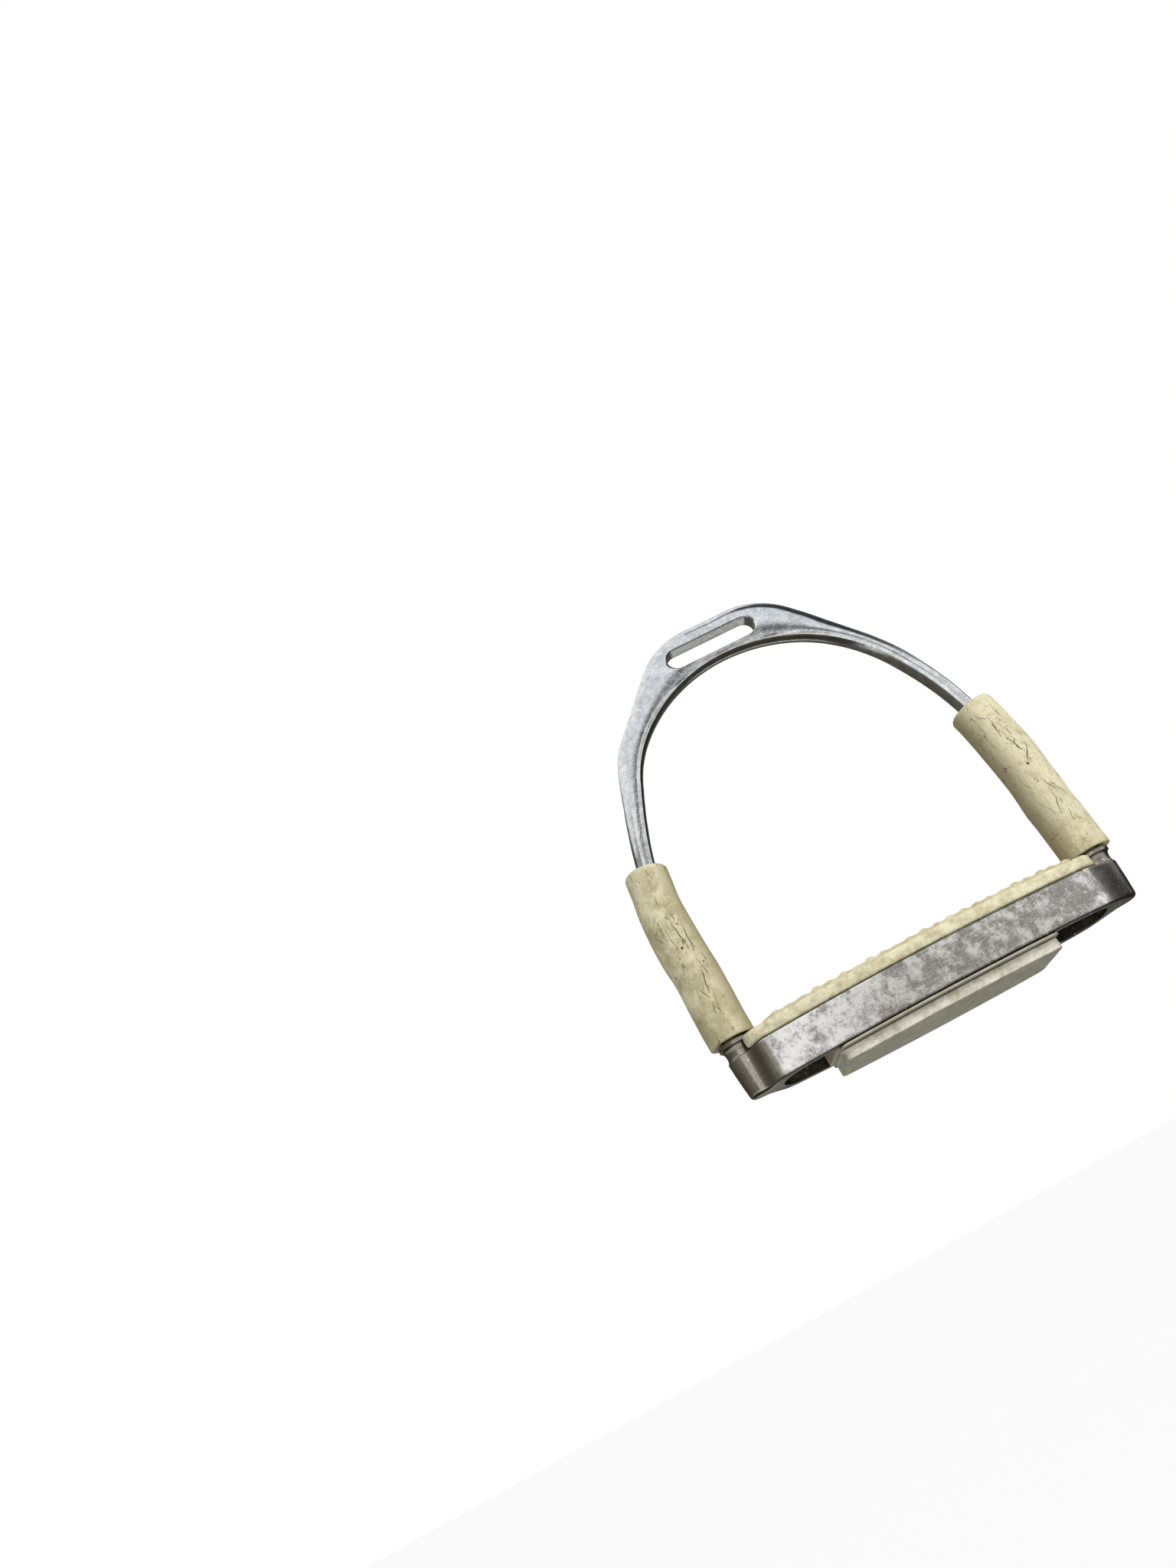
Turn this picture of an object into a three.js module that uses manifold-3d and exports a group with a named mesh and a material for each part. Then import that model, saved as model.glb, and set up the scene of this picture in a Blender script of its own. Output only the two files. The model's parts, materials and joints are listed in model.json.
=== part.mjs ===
// Flexible stirrup iron: a cast arch, a cast tread with a rubber pad, and a jointed branch in a
// rubber sleeve on each side. Each branch holds a middle link between two rivets, so the tread
// can sway sideways under the arch like the lower bar of a parallelogram.
// Millimetres. X runs along the tread, Y from front to back and Z up.
// The origin lies on the flat under the arch's top bar, where the stirrup leather bears.
import * as THREE from 'three';
import { mergeVertices } from 'three/addons/utils/BufferGeometryUtils.js';
import Module from 'manifold-3d';

const wasm = await Module();
wasm.setup();

// Overall sizes
const insideWidth = 120; // between the two sleeves, at the tread
const linkLength = 28.5; // from the lower rivet to the upper rivet
const lowerRivetHeight = 41.4; // above the bottom of the tread
const crownAboveRivet = 19.2; // from the upper rivets up to the centre of the arch's round

// Tread frame
const treadHeight = 13.7;
const treadHalfDepth = 19.7; // at the middle of the tread
const treadBow = 6.7; // how much the half depth shrinks where the walls turn in
const treadWall = 3.6;
const treadEdge = 0.6; // broken edge of the casting
const turnLength = 7.7; // from where a wall starts to turn in to the branch axis
const turnStart = 3.4; // handle of the turn's S curve at the wall
const turnFinish = 3.4; // handle of the turn's S curve at the post
const postRadius = 5.6; // round end of the tread, under the branch
const pocketEnd = 7.6; // metal between the tread's inner pocket and the branch axis
const pocketTaper = 10; // length of each narrowing end of the pocket
const pocketBluntness = 0.6; // handles of the pocket's ends, as a share of their length
const neckRadius = 4.9; // between the post and the collar
const neckRoot = 1.5; // how deep the neck is rooted in the post
const collarRadius = 6.3; // flared collar that the sleeve stands on
const collarHeight = 5.5; // from the tread's top face to the collar's top
const collarRim = 1; // height of the collar's upright rim, with its broken edge
const collarEdge = 0.3;
const stubRadius = 3.95;

// Arch
const bandWidth = 7.2; // across the branch, in the plane of the arch
const footWidth = 5.7; // the same at the foot of a leg, inside the sleeve
const bandDepth = 7.5; // front to back
const bandBevel = 0.9; // along the two inner edges
const noseLength = 4.5; // how far the outer side is rounded over
const noseShare = 0.55; // longest nose, as a share of the width
const slotFloor = 3.8; // metal under the leather slot
const slotHeight = 8.3;
const slotLength = 36.7;
const slotBevel = 0.7;
const barHeight = 5.9; // top bar over the slot
const flankAngle = 40; // degrees above level where the crown starts to widen
const shoulderRadius = 30;
const legRise = 19.8; // from where a branch stands upright to the centre of the arch's round

// Joints inside the sleeves
const tongueThickness = 3;
const eyeRadius = 3.7;
const rivetRadius = 1.5;
const rivetHeadRadius = 2.6;
const rivetHeadHeight = 1.1;
const plateThickness = 1.8;
const plateGap = 0.3; // between a tongue and the plate beside it
const runningGap = 0.15; // round a rivet in a plate, and under its head
const fixedGap = 0.05; // round a rivet in the tongue that holds it
const shoulderGap = 0.4; // from a plate's round end to the shoulder over it

// Rubber sleeves
const sleeveRadius = 8.12;
const sleeveTopRadius = 7.9;
const sleeveLength = 66.7;
const sleeveRound = 2.2; // rounded upper edge
const sleeveFoot = 0.5; // broken lower edge
const sleeveGrip = 12; // length of the narrow bore that grips the stub
const sleeveLip = 5; // length of the narrow bore round the branch
const hingeRoom = 0.34; // round the joints, in the wide bore
const boreTaper = 2; // length of the cone between two bores
const lipBore = 3; // radius at the upper end, before the opening for the branch is cut
const seatGap = 0.3; // between pieces that touch

// Rubber tread pad
const flangeThickness = 4.3;
const flangeInset = 0.4; // behind the outer face of the tread's walls
const flangeEnd = 2.8; // from the branch axis back to the end of the flange
const flangeCorner = 7;
const flangeRound = 0.8;
const plugHalfLength = 44;
const plugCorner = 4;
const stripThickness = 0.8; // thin strip that hooks under the walls
const stripHalfLength = 39.4;
const blockDepth = 3.9; // block under the strip
const blockHalfLength = 38.9;
const blockInset = 3; // behind the outer face of the walls
const blockCorner = 2.6;
const blockRound = 0.8;
const fieldRise = 1.2; // raised field that carries the ribs
const fieldMargin = 2.7; // from the edge of the flange to the edge of the field
const fieldCorner = 6;
const ribPitch = 4.92;
const ribHeight = 2.1; // above the flange
const ribBase = 3.9;
const ribTop = 1.7;
const ribShoulder = 0.35; // bevel on each side of a rib's top
const ribMargin = 3.2; // from the edge of the flange to the end of a rib
const ribbedHalfLength = 57;
const overlap = 1; // how far pieces of one body run into each other before they are joined

// Heights above the bottom of the tread, and the branch axis
const branchX = insideWidth / 2 + sleeveRadius;
const innerRadius = insideWidth / 2;
const upperRivetHeight = lowerRivetHeight + linkLength;
const crownHeight = upperRivetHeight + crownAboveRivet;
const slotBottom = crownHeight + innerRadius + slotFloor;
const bearingHeight = slotBottom + slotHeight;
const archTop = bearingHeight + barHeight;
const collarTop = treadHeight + collarHeight;
const sleeveBottom = collarTop + seatGap;
const bandRadius = innerRadius + bandWidth / 2;

// Distances from the middle of a branch out to the faces of its joints, along a rivet
const plateFront = tongueThickness / 2 + plateGap;
const plateBack = plateFront + plateThickness;
const underHead = plateBack + runningGap;
const rivetTop = underHead + rivetHeadHeight;
const hingeBore = Math.max(rivetTop, Math.hypot(eyeRadius, plateBack)) + hingeRoom;

// A branch leaves the arch's round on a larger arc that ends upright over the rivets.
const uprightHeight = crownHeight - legRise;
const legAngle = 2 * Math.atan((branchX - bandRadius) / legRise);
const legRadius = bandRadius + legRise / Math.sin(legAngle);

const steel = { metalness: 1, roughness: 0.28 };
const archSteel = new THREE.MeshStandardMaterial({ color: 0xc9cbcc, ...steel });
const treadSteel = new THREE.MeshStandardMaterial({ color: 0xb4b1ad, metalness: 1, roughness: 0.4 });
const linkSteel = new THREE.MeshStandardMaterial({ color: 0x8f8b86, metalness: 1, roughness: 0.5 });
const rivetSteel = new THREE.MeshStandardMaterial({ color: 0xa3a09b, metalness: 1, roughness: 0.42 });
const sleeveRubber = new THREE.MeshStandardMaterial({ color: 0xc4bc98, metalness: 0, roughness: 0.72 });
const padRubber = new THREE.MeshStandardMaterial({ color: 0xcfc9a6, metalness: 0, roughness: 0.68 });

// Closed three.js geometry to a solid that can be joined and cut.
function solid(geometry) {
  const bare = geometry.clone();
  bare.deleteAttribute('normal');
  bare.deleteAttribute('uv');
  const merged = mergeVertices(bare, 1e-4);
  const index = merged.index.array;
  const kept = [];
  for (let i = 0; i < index.length; i += 3) {
    const [a, b, c] = [index[i], index[i + 1], index[i + 2]];
    if (a !== b && b !== c && c !== a) kept.push(a, b, c);
  }
  const vertProperties = Float32Array.from(merged.attributes.position.array);
  const triVerts = Uint32Array.from(kept);
  return new wasm.Manifold(new wasm.Mesh({ numProp: 3, vertProperties, triVerts }));
}

function namedMesh(name, body, material) {
  const { vertProperties, triVerts } = body.getMesh();
  const geometry = new THREE.BufferGeometry();
  geometry.setAttribute('position', new THREE.BufferAttribute(Float32Array.from(vertProperties), 3));
  geometry.setIndex(new THREE.BufferAttribute(Uint32Array.from(triVerts), 1));
  geometry.computeVertexNormals();
  const mesh = new THREE.Mesh(geometry, material);
  mesh.name = name;
  return mesh;
}

// A shape drawn in plan (x, y) and raised from the height low to the height high.
function raised(shape, low, high, round = 0, roundHeight = round, segments = 2, curveSegments = 8) {
  const geometry = new THREE.ExtrudeGeometry(shape, {
    depth: high - low - 2 * roundHeight,
    curveSegments,
    bevelEnabled: round > 0,
    bevelSize: round,
    bevelOffset: -round,
    bevelThickness: roundHeight,
    bevelSegments: segments,
  });
  return solid(geometry.translate(0, 0, low + roundHeight));
}

// A shape drawn in the plane of the arch (x, z), from the depth front to the depth back.
function crosswise(shape, front, back, curveSegments = 8) {
  const settings = { depth: back - front, curveSegments, bevelEnabled: false };
  const geometry = new THREE.ExtrudeGeometry(shape, settings);
  return solid(geometry.rotateX(Math.PI / 2).translate(0, back, 0));
}

// A profile of [radius, height] pairs turned about the Z axis.
function turned(profile, segments = 24) {
  const points = profile.map(([r, z]) => new THREE.Vector2(r, z));
  return new THREE.LatheGeometry(points, segments).rotateX(Math.PI / 2);
}

// An upright slot outline with round ends, centred on x, from the centre of one end to the other.
function uprightStadium(x, low, high, radius) {
  const shape = new THREE.Shape();
  shape.absarc(x, low, radius, Math.PI, 2 * Math.PI, false);
  shape.absarc(x, high, radius, 0, Math.PI, false);
  shape.closePath();
  return shape;
}

function hole(x, z, radius) {
  const path = new THREE.Path();
  path.absarc(x, z, radius, 0, 2 * Math.PI, true);
  return path;
}

// Distance from the centre of the arch's round to its outer contour, in the direction angle:
// a round band, straight flanks tangent to it, and a flat top with rounded shoulders.
function outerRadius(angle) {
  const a = angle > Math.PI / 2 ? Math.PI - angle : angle;
  const flank = THREE.MathUtils.degToRad(flankAngle);
  const band = innerRadius + bandWidth;
  const top = archTop - crownHeight;
  if (a <= flank) return band;
  const shoulderZ = top - shoulderRadius;
  const shoulderX = (band - shoulderRadius - shoulderZ * Math.sin(flank)) / Math.cos(flank);
  const flankEndX = shoulderX + shoulderRadius * Math.cos(flank);
  const flankEndZ = shoulderZ + shoulderRadius * Math.sin(flank);
  const flankEnd = Math.atan2(flankEndZ, flankEndX);
  if (a <= flankEnd) return band / Math.cos(a - flank);
  if (a >= Math.atan2(top, shoulderX)) return top / Math.sin(a);
  const along = shoulderX * Math.cos(a) + shoulderZ * Math.sin(a);
  return along + Math.sqrt(along ** 2 - shoulderX ** 2 - shoulderZ ** 2 + shoulderRadius ** 2);
}

// Section of the arch, [outward, sideways], from the middle of its inner face round to the outside.
// It is flat inside, with two bevelled edges, and rounded outside.
function archSection(width, grow) {
  const half = bandDepth / 2 + grow;
  const nose = Math.min(noseLength, noseShare * width);
  const start = width + grow - nose;
  const upper = [[-grow, 0], [-grow, half - bandBevel], [bandBevel - grow, half], [start, half]];
  for (const turn of [18, 36, 54, 72, 90]) {
    const t = THREE.MathUtils.degToRad(turn);
    upper.push([start + nose * Math.sin(t), half * Math.cos(t)]);
  }
  const lower = upper.slice(1, -1).reverse().map(([u, v]) => [u, -v]);
  return [...upper, ...lower];
}

// Stations along the arch from the foot of the right branch over the crown to the left one.
// Each has a point on the inner face, the outward direction and the width there.
function archStations() {
  const foot = Math.asin((upperRivetHeight + eyeRadius + shoulderGap - uprightHeight) / legRadius);
  const stations = [];
  const legSteps = 7;
  for (let i = 0; i < legSteps; i++) {
    const angle = THREE.MathUtils.lerp(foot, legAngle, i / legSteps);
    const width = THREE.MathUtils.lerp(footWidth, bandWidth, i / legSteps);
    const inner = legRadius - width / 2;
    stations.push({ angle, centreX: branchX - legRadius, centreZ: uprightHeight, inner, width });
  }
  const crownSteps = 44;
  for (let i = 0; i <= crownSteps / 2; i++) {
    const angle = THREE.MathUtils.lerp(legAngle, Math.PI / 2, i / (crownSteps / 2));
    const width = outerRadius(angle) - innerRadius;
    stations.push({ angle, centreX: 0, centreZ: crownHeight, inner: innerRadius, width });
  }
  const right = stations.map(({ angle, centreX, centreZ, inner, width }) => {
    const direction = [Math.cos(angle), Math.sin(angle)];
    const point = [centreX + inner * direction[0], centreZ + inner * direction[1]];
    return { point, direction, width };
  });
  const left = right.slice(0, -1).reverse().map(({ point, direction, width }) => (
    { point: [-point[0], point[1]], direction: [-direction[0], direction[1]], width }));
  return [...right, ...left];
}

// The arch's body as a loft through its stations, larger all round by grow.
function archLoft(grow = 0) {
  const rings = archStations().map(({ point, direction, width }) => (
    archSection(width, grow).map(([u, v]) => (
      [point[0] + u * direction[0], -v, point[1] + u * direction[1]]))));
  const count = rings[0].length;
  const positions = rings.flat(2);
  const index = [];
  for (let r = 0; r + 1 < rings.length; r++) {
    for (let i = 0; i < count; i++) {
      const [a, b] = [r * count + i, r * count + (i + 1) % count];
      const [c, d] = [a + count, b + count];
      index.push(a, b, c, b, d, c);
    }
  }
  for (let i = 1; i + 1 < count; i++) {
    index.push(0, i + 1, i);
    const last = (rings.length - 1) * count;
    index.push(last, last + i, last + i + 1);
  }
  const geometry = new THREE.BufferGeometry();
  geometry.setAttribute('position', new THREE.Float32BufferAttribute(positions, 3));
  geometry.setIndex(index);
  return solid(geometry);
}

function levelStadium(halfLength, low, high) {
  const radius = (high - low) / 2;
  const middle = (high + low) / 2;
  const shape = new THREE.Shape();
  shape.absarc(halfLength - radius, middle, radius, -Math.PI / 2, Math.PI / 2, false);
  shape.absarc(radius - halfLength, middle, radius, Math.PI / 2, 1.5 * Math.PI, false);
  shape.closePath();
  return shape;
}

// The leather slot's cutter: a slot right through, flared at both faces.
function slotCutter() {
  const half = bandDepth / 2;
  let cutter = crosswise(levelStadium(slotLength / 2, slotBottom, bearingHeight), -bandDepth, bandDepth);
  const wide = levelStadium(slotLength / 2 + slotBevel, slotBottom - slotBevel, bearingHeight + slotBevel);
  const flare = new THREE.ExtrudeGeometry(wide, {
    depth: half,
    curveSegments: 8,
    bevelSize: slotBevel,
    bevelOffset: -slotBevel,
    bevelThickness: slotBevel,
    bevelSegments: 1,
  }).rotateX(Math.PI / 2);
  cutter = cutter.add(solid(flare.clone().translate(0, -half, 0)));
  return cutter.add(solid(flare.clone().translate(0, 2 * half, 0)));
}

// A flat tongue with an eye at the rivet, running from the eye to the shoulder it grows from.
function tongue(side, rivetHeight, shoulderHeight) {
  const [low, high] = [rivetHeight, shoulderHeight].sort((a, b) => a - b);
  const shape = uprightStadium(side * branchX, low, high, eyeRadius);
  return crosswise(shape, -tongueThickness / 2, tongueThickness / 2);
}

function rivetHole(side, rivetHeight) {
  const shape = new THREE.Shape();
  shape.absarc(side * branchX, rivetHeight, rivetRadius + fixedGap, 0, 2 * Math.PI, false);
  return crosswise(shape, -bandDepth, bandDepth);
}

function arch() {
  let body = archLoft().subtract(slotCutter());
  for (const side of [-1, 1]) {
    body = body.add(tongue(side, upperRivetHeight, upperRivetHeight + eyeRadius + shoulderGap));
    body = body.subtract(rivetHole(side, upperRivetHeight));
  }
  return body;
}

// Radius of the circle that a tread wall's outer face follows in plan.
const turnX = branchX - turnLength;
const wallRadius = (turnX ** 2 + treadBow ** 2) / (2 * treadBow);
const wallCentre = treadHalfDepth - wallRadius; // of the back wall; the front wall mirrors it

// Half depth of a line that lies inset behind the outer face of a wall.
function halfDepth(x, inset) {
  return wallCentre + Math.sqrt((wallRadius - inset) ** 2 - x ** 2);
}

// Outline of the tread: bowed walls that turn in with an S curve to a round post at each end.
function treadOutline() {
  const turnY = halfDepth(turnX, 0);
  const wallHandle = { x: turnX + turnStart, y: turnY - turnStart * turnX / wallRadius };
  const postHandle = { x: branchX - turnFinish, y: postRadius };
  const sweep = Math.asin(turnX / wallRadius);
  const [up, down] = [Math.PI / 2, 1.5 * Math.PI];
  const shape = new THREE.Shape();
  shape.moveTo(branchX, -postRadius);
  shape.absarc(branchX, 0, postRadius, -Math.PI / 2, up, false);
  shape.bezierCurveTo(postHandle.x, postHandle.y, wallHandle.x, wallHandle.y, turnX, turnY);
  shape.absarc(0, wallCentre, wallRadius, up - sweep, up + sweep, false);
  shape.bezierCurveTo(-wallHandle.x, wallHandle.y, -postHandle.x, postHandle.y, -branchX, postRadius);
  shape.absarc(-branchX, 0, postRadius, up, down, false);
  shape.bezierCurveTo(-postHandle.x, -postHandle.y, -wallHandle.x, -wallHandle.y, -turnX, -turnY);
  shape.absarc(0, -wallCentre, wallRadius, down - sweep, down + sweep, false);
  shape.bezierCurveTo(wallHandle.x, -wallHandle.y, postHandle.x, -postHandle.y, branchX, -postRadius);
  return shape;
}

// Opening in the tread that the pad's plug goes down through.
function treadPocket() {
  const endX = branchX - pocketEnd;
  const startX = endX - pocketTaper;
  const startY = halfDepth(startX, treadWall);
  const radius = wallRadius - treadWall;
  const reach = pocketBluntness * pocketTaper;
  const handle = { x: startX + reach, y: startY - reach * startX / radius };
  const endY = pocketBluntness * startY;
  const sweep = Math.asin(startX / radius);
  const [up, down] = [Math.PI / 2, 1.5 * Math.PI];
  const path = new THREE.Path();
  path.moveTo(endX, 0);
  path.bezierCurveTo(endX, endY, handle.x, handle.y, startX, startY);
  path.absarc(0, wallCentre, radius, up - sweep, up + sweep, false);
  path.bezierCurveTo(-handle.x, handle.y, -endX, endY, -endX, 0);
  path.bezierCurveTo(-endX, -endY, -handle.x, -handle.y, -startX, -startY);
  path.absarc(0, -wallCentre, radius, down - sweep, down + sweep, false);
  path.bezierCurveTo(handle.x, -handle.y, endX, -endY, endX, 0);
  return path;
}

// Neck, flared collar and stub that stand on each end of the tread.
function stub(side) {
  const shoulder = lowerRivetHeight - eyeRadius - shoulderGap;
  const flare = collarRadius - neckRadius;
  const flareHeight = collarHeight - collarRim;
  const profile = [
    [0, treadHeight - neckRoot],
    [neckRadius, treadHeight - neckRoot],
    [neckRadius, treadHeight],
    [neckRadius + 0.15 * flare, treadHeight + 0.4 * flareHeight],
    [neckRadius + 0.5 * flare, treadHeight + 0.75 * flareHeight],
    [collarRadius, treadHeight + flareHeight],
    [collarRadius, collarTop - collarEdge],
    [collarRadius - collarEdge, collarTop],
    [stubRadius, collarTop],
    [stubRadius, shoulder],
    [0, shoulder],
  ];
  return solid(turned(profile).translate(side * branchX, 0, 0));
}

function treadFrame() {
  const outline = treadOutline();
  outline.holes.push(treadPocket());
  let body = raised(outline, 0, treadHeight, treadEdge);
  for (const side of [-1, 1]) {
    body = body.add(stub(side));
    body = body.add(tongue(side, lowerRivetHeight, lowerRivetHeight - eyeRadius - shoulderGap));
    body = body.subtract(rivetHole(side, lowerRivetHeight));
  }
  return body;
}

// A plan shape with sides that follow the walls at a given inset, and straight ends.
function bowedPlan(halfLength, inset, corner) {
  const sideX = halfLength - corner;
  const sideY = halfDepth(sideX, inset);
  const radius = wallRadius - inset;
  const cornerY = sideY - corner * sideX / radius;
  const sweep = Math.asin(sideX / radius);
  const [up, down] = [Math.PI / 2, 1.5 * Math.PI];
  const shape = new THREE.Shape();
  shape.moveTo(halfLength, corner - sideY);
  shape.lineTo(halfLength, sideY - corner);
  shape.quadraticCurveTo(halfLength, cornerY, sideX, sideY);
  shape.absarc(0, wallCentre, radius, up - sweep, up + sweep, false);
  shape.quadraticCurveTo(-halfLength, cornerY, -halfLength, sideY - corner);
  shape.lineTo(-halfLength, corner - sideY);
  shape.quadraticCurveTo(-halfLength, -cornerY, -sideX, -sideY);
  shape.absarc(0, -wallCentre, radius, down - sweep, down + sweep, false);
  shape.quadraticCurveTo(halfLength, -cornerY, halfLength, corner - sideY);
  return shape;
}

// A rib across the pad, centred on x and standing on the flange's top.
function rib(x, flangeTop) {
  const reach = halfDepth(Math.abs(x) + ribBase / 2, flangeInset) - ribMargin;
  const top = flangeTop + ribHeight;
  const section = new THREE.Shape();
  section.moveTo(x - ribBase / 2, flangeTop);
  section.lineTo(x + ribBase / 2, flangeTop);
  section.lineTo(x + ribTop / 2 + ribShoulder, top - ribShoulder);
  section.lineTo(x + ribTop / 2, top);
  section.lineTo(x - ribTop / 2, top);
  section.lineTo(x - ribTop / 2 - ribShoulder, top - ribShoulder);
  return crosswise(section, -reach, reach);
}

// The pad: a flange on top of the walls that bites round the collars, a plug between the walls,
// a thin strip that hooks under them, a flat block below, and ribs across the top for grip.
function treadPad() {
  const flangeLow = treadHeight + seatGap;
  const flangeHigh = flangeLow + flangeThickness;
  const flange = bowedPlan(branchX - flangeEnd, flangeInset, flangeCorner);
  let body = raised(flange, flangeLow, flangeHigh, flangeRound);
  const biteRadius = collarRadius + flangeInset;
  for (const side of [-1, 1]) {
    const bite = turned([
      [0, flangeLow - overlap],
      [biteRadius, flangeLow - overlap],
      [biteRadius, flangeHigh + overlap],
      [0, flangeHigh + overlap],
    ]);
    body = body.subtract(solid(bite.translate(side * branchX, 0, 0)));
  }
  const plug = bowedPlan(plugHalfLength, treadWall + flangeInset, plugCorner);
  const strip = bowedPlan(stripHalfLength, flangeInset, blockCorner);
  const block = bowedPlan(blockHalfLength, blockInset, blockCorner);
  const stripHigh = -seatGap;
  const stripLow = stripHigh - stripThickness;
  body = body.add(raised(plug, stripLow, flangeLow + overlap, 0, 0, 1, 6));
  body = body.add(raised(strip, stripLow, stripHigh, 0, 0, 1, 6));
  body = body.add(raised(block, stripLow - blockDepth, stripLow + overlap, blockRound, blockRound, 2, 6));

  const field = bowedPlan(ribbedHalfLength, flangeInset + fieldMargin, fieldCorner);
  body = body.add(raised(field, flangeHigh - overlap, flangeHigh + fieldRise, 0, 0, 1, 6));
  const ribs = Math.floor((ribbedHalfLength - ribBase / 2) / ribPitch);
  for (let i = -ribs; i <= ribs; i++) body = body.add(rib(i * ribPitch, flangeHigh));
  return body;
}

// A side plate of a middle link, seen from the front as a bar with two round ends and two holes.
function linkPlate(side, face) {
  const shape = uprightStadium(side * branchX, lowerRivetHeight, upperRivetHeight, eyeRadius);
  for (const height of [lowerRivetHeight, upperRivetHeight]) {
    shape.holes.push(hole(side * branchX, height, rivetRadius + runningGap));
  }
  const [front, back] = [face * plateFront, face * plateBack].sort((a, b) => a - b);
  return crosswise(shape, front, back);
}

// A rivet with a domed head at each end, along Y.
function rivet(side, height) {
  const half = [
    [rivetRadius, underHead],
    [rivetHeadRadius, underHead],
    [rivetHeadRadius, underHead + 0.35 * rivetHeadHeight],
    [0.7 * rivetHeadRadius, underHead + 0.85 * rivetHeadHeight],
    [0, rivetTop],
  ];
  const profile = [...half.map(([r, y]) => [r, -y]).reverse(), ...half];
  const geometry = turned(profile, 16).rotateX(Math.PI / 2);
  return solid(geometry.translate(side * branchX, 0, height));
}

// A point of a sleeve: out from the branch axis, sideways, and up along it.
// Above the rivets the axis follows the arc of the arch's leg.
function alongBranch(side, out, sideways, height) {
  if (height <= uprightHeight) return [side * (branchX + out), sideways, height];
  const angle = (height - uprightHeight) / legRadius;
  const radius = legRadius + out;
  const x = branchX - legRadius + radius * Math.cos(angle);
  return [side * x, sideways, uprightHeight + radius * Math.sin(angle)];
}

function sleeve(side) {
  const top = sleeveBottom + sleeveLength;
  const outer = [
    [stubRadius + seatGap, sleeveBottom],
    [sleeveRadius - sleeveFoot, sleeveBottom],
    [sleeveRadius, sleeveBottom + sleeveFoot],
  ];
  const rings = 7;
  for (let i = 1; i < rings; i++) {
    const t = i / rings;
    const narrowing = THREE.MathUtils.smoothstep(t, 0.5, 1);
    const radius = THREE.MathUtils.lerp(sleeveRadius, sleeveTopRadius, narrowing);
    outer.push([radius, sleeveBottom + t * (sleeveLength - sleeveRound)]);
  }
  for (const turn of [0, 30, 60, 90]) {
    const t = THREE.MathUtils.degToRad(turn);
    outer.push([sleeveTopRadius - sleeveRound * (1 - Math.cos(t)), top - sleeveRound * (1 - Math.sin(t))]);
  }
  const inner = [
    [lipBore, top],
    [lipBore, top - sleeveLip],
    [hingeBore, top - sleeveLip - boreTaper],
    [hingeBore, uprightHeight],
    [hingeBore, sleeveBottom + sleeveGrip + boreTaper],
    [stubRadius + seatGap, sleeveBottom + sleeveGrip],
    [stubRadius + seatGap, sleeveBottom],
  ];
  const geometry = turned([...outer, ...inner]);
  const position = geometry.attributes.position;
  for (let i = 0; i < position.count; i++) {
    const point = alongBranch(side, side * position.getX(i), position.getY(i), position.getZ(i));
    position.setXYZ(i, ...point);
  }
  return solid(geometry).subtract(archLoft(seatGap));
}

const iron = new THREE.Group();
iron.add(namedMesh('arch', arch(), archSteel));
iron.add(namedMesh('tread_frame', treadFrame(), treadSteel));
iron.add(namedMesh('tread_pad', treadPad(), padRubber));
for (const [word, side] of [['left', -1], ['right', 1]]) {
  iron.add(namedMesh(`${word}_sleeve`, sleeve(side), sleeveRubber));
  iron.add(namedMesh(`${word}_link_plate_front`, linkPlate(side, -1), linkSteel));
  iron.add(namedMesh(`${word}_link_plate_back`, linkPlate(side, 1), linkSteel));
  iron.add(namedMesh(`${word}_upper_rivet`, rivet(side, upperRivetHeight), rivetSteel));
  iron.add(namedMesh(`${word}_lower_rivet`, rivet(side, lowerRivetHeight), rivetSteel));
}
iron.position.z = -bearingHeight;

export default iron;
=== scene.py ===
# %% [markdown]
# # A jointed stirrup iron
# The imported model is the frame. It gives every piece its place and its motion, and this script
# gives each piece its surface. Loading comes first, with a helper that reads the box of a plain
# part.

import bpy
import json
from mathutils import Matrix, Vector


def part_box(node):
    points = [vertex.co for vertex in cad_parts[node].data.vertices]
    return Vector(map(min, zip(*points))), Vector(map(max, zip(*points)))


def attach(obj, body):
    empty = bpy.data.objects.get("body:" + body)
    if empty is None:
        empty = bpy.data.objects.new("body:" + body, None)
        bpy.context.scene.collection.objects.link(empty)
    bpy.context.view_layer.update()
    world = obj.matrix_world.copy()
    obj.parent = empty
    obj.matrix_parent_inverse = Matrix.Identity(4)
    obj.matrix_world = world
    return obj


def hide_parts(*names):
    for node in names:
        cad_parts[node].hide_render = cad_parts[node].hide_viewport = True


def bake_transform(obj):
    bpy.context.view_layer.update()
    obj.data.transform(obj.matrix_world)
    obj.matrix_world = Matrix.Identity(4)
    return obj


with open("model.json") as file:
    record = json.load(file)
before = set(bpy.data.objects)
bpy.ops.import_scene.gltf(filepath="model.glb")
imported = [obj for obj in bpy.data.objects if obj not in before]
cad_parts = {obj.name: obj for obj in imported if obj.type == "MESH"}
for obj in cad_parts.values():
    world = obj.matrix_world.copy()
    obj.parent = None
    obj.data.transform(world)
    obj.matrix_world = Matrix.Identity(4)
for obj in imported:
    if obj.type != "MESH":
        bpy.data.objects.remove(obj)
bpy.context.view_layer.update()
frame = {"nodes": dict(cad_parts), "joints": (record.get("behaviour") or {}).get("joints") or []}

import json
import math

import bpy
import numpy as np
from mathutils import Matrix, Vector

print("nodes:", ", ".join(sorted(frame["nodes"])))

# %% [markdown]
# Lengths are written in millimetres, with heights measured up from the bottom of the tread,
# as a saddler would measure them. One function turns such a point into the frame's metres.

# %% Millimetres and the joints
MM = 0.001
TREAD_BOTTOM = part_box("tread_frame")[0].z / MM
joints = {joint["name"]: joint for joint in frame["joints"]}


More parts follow.
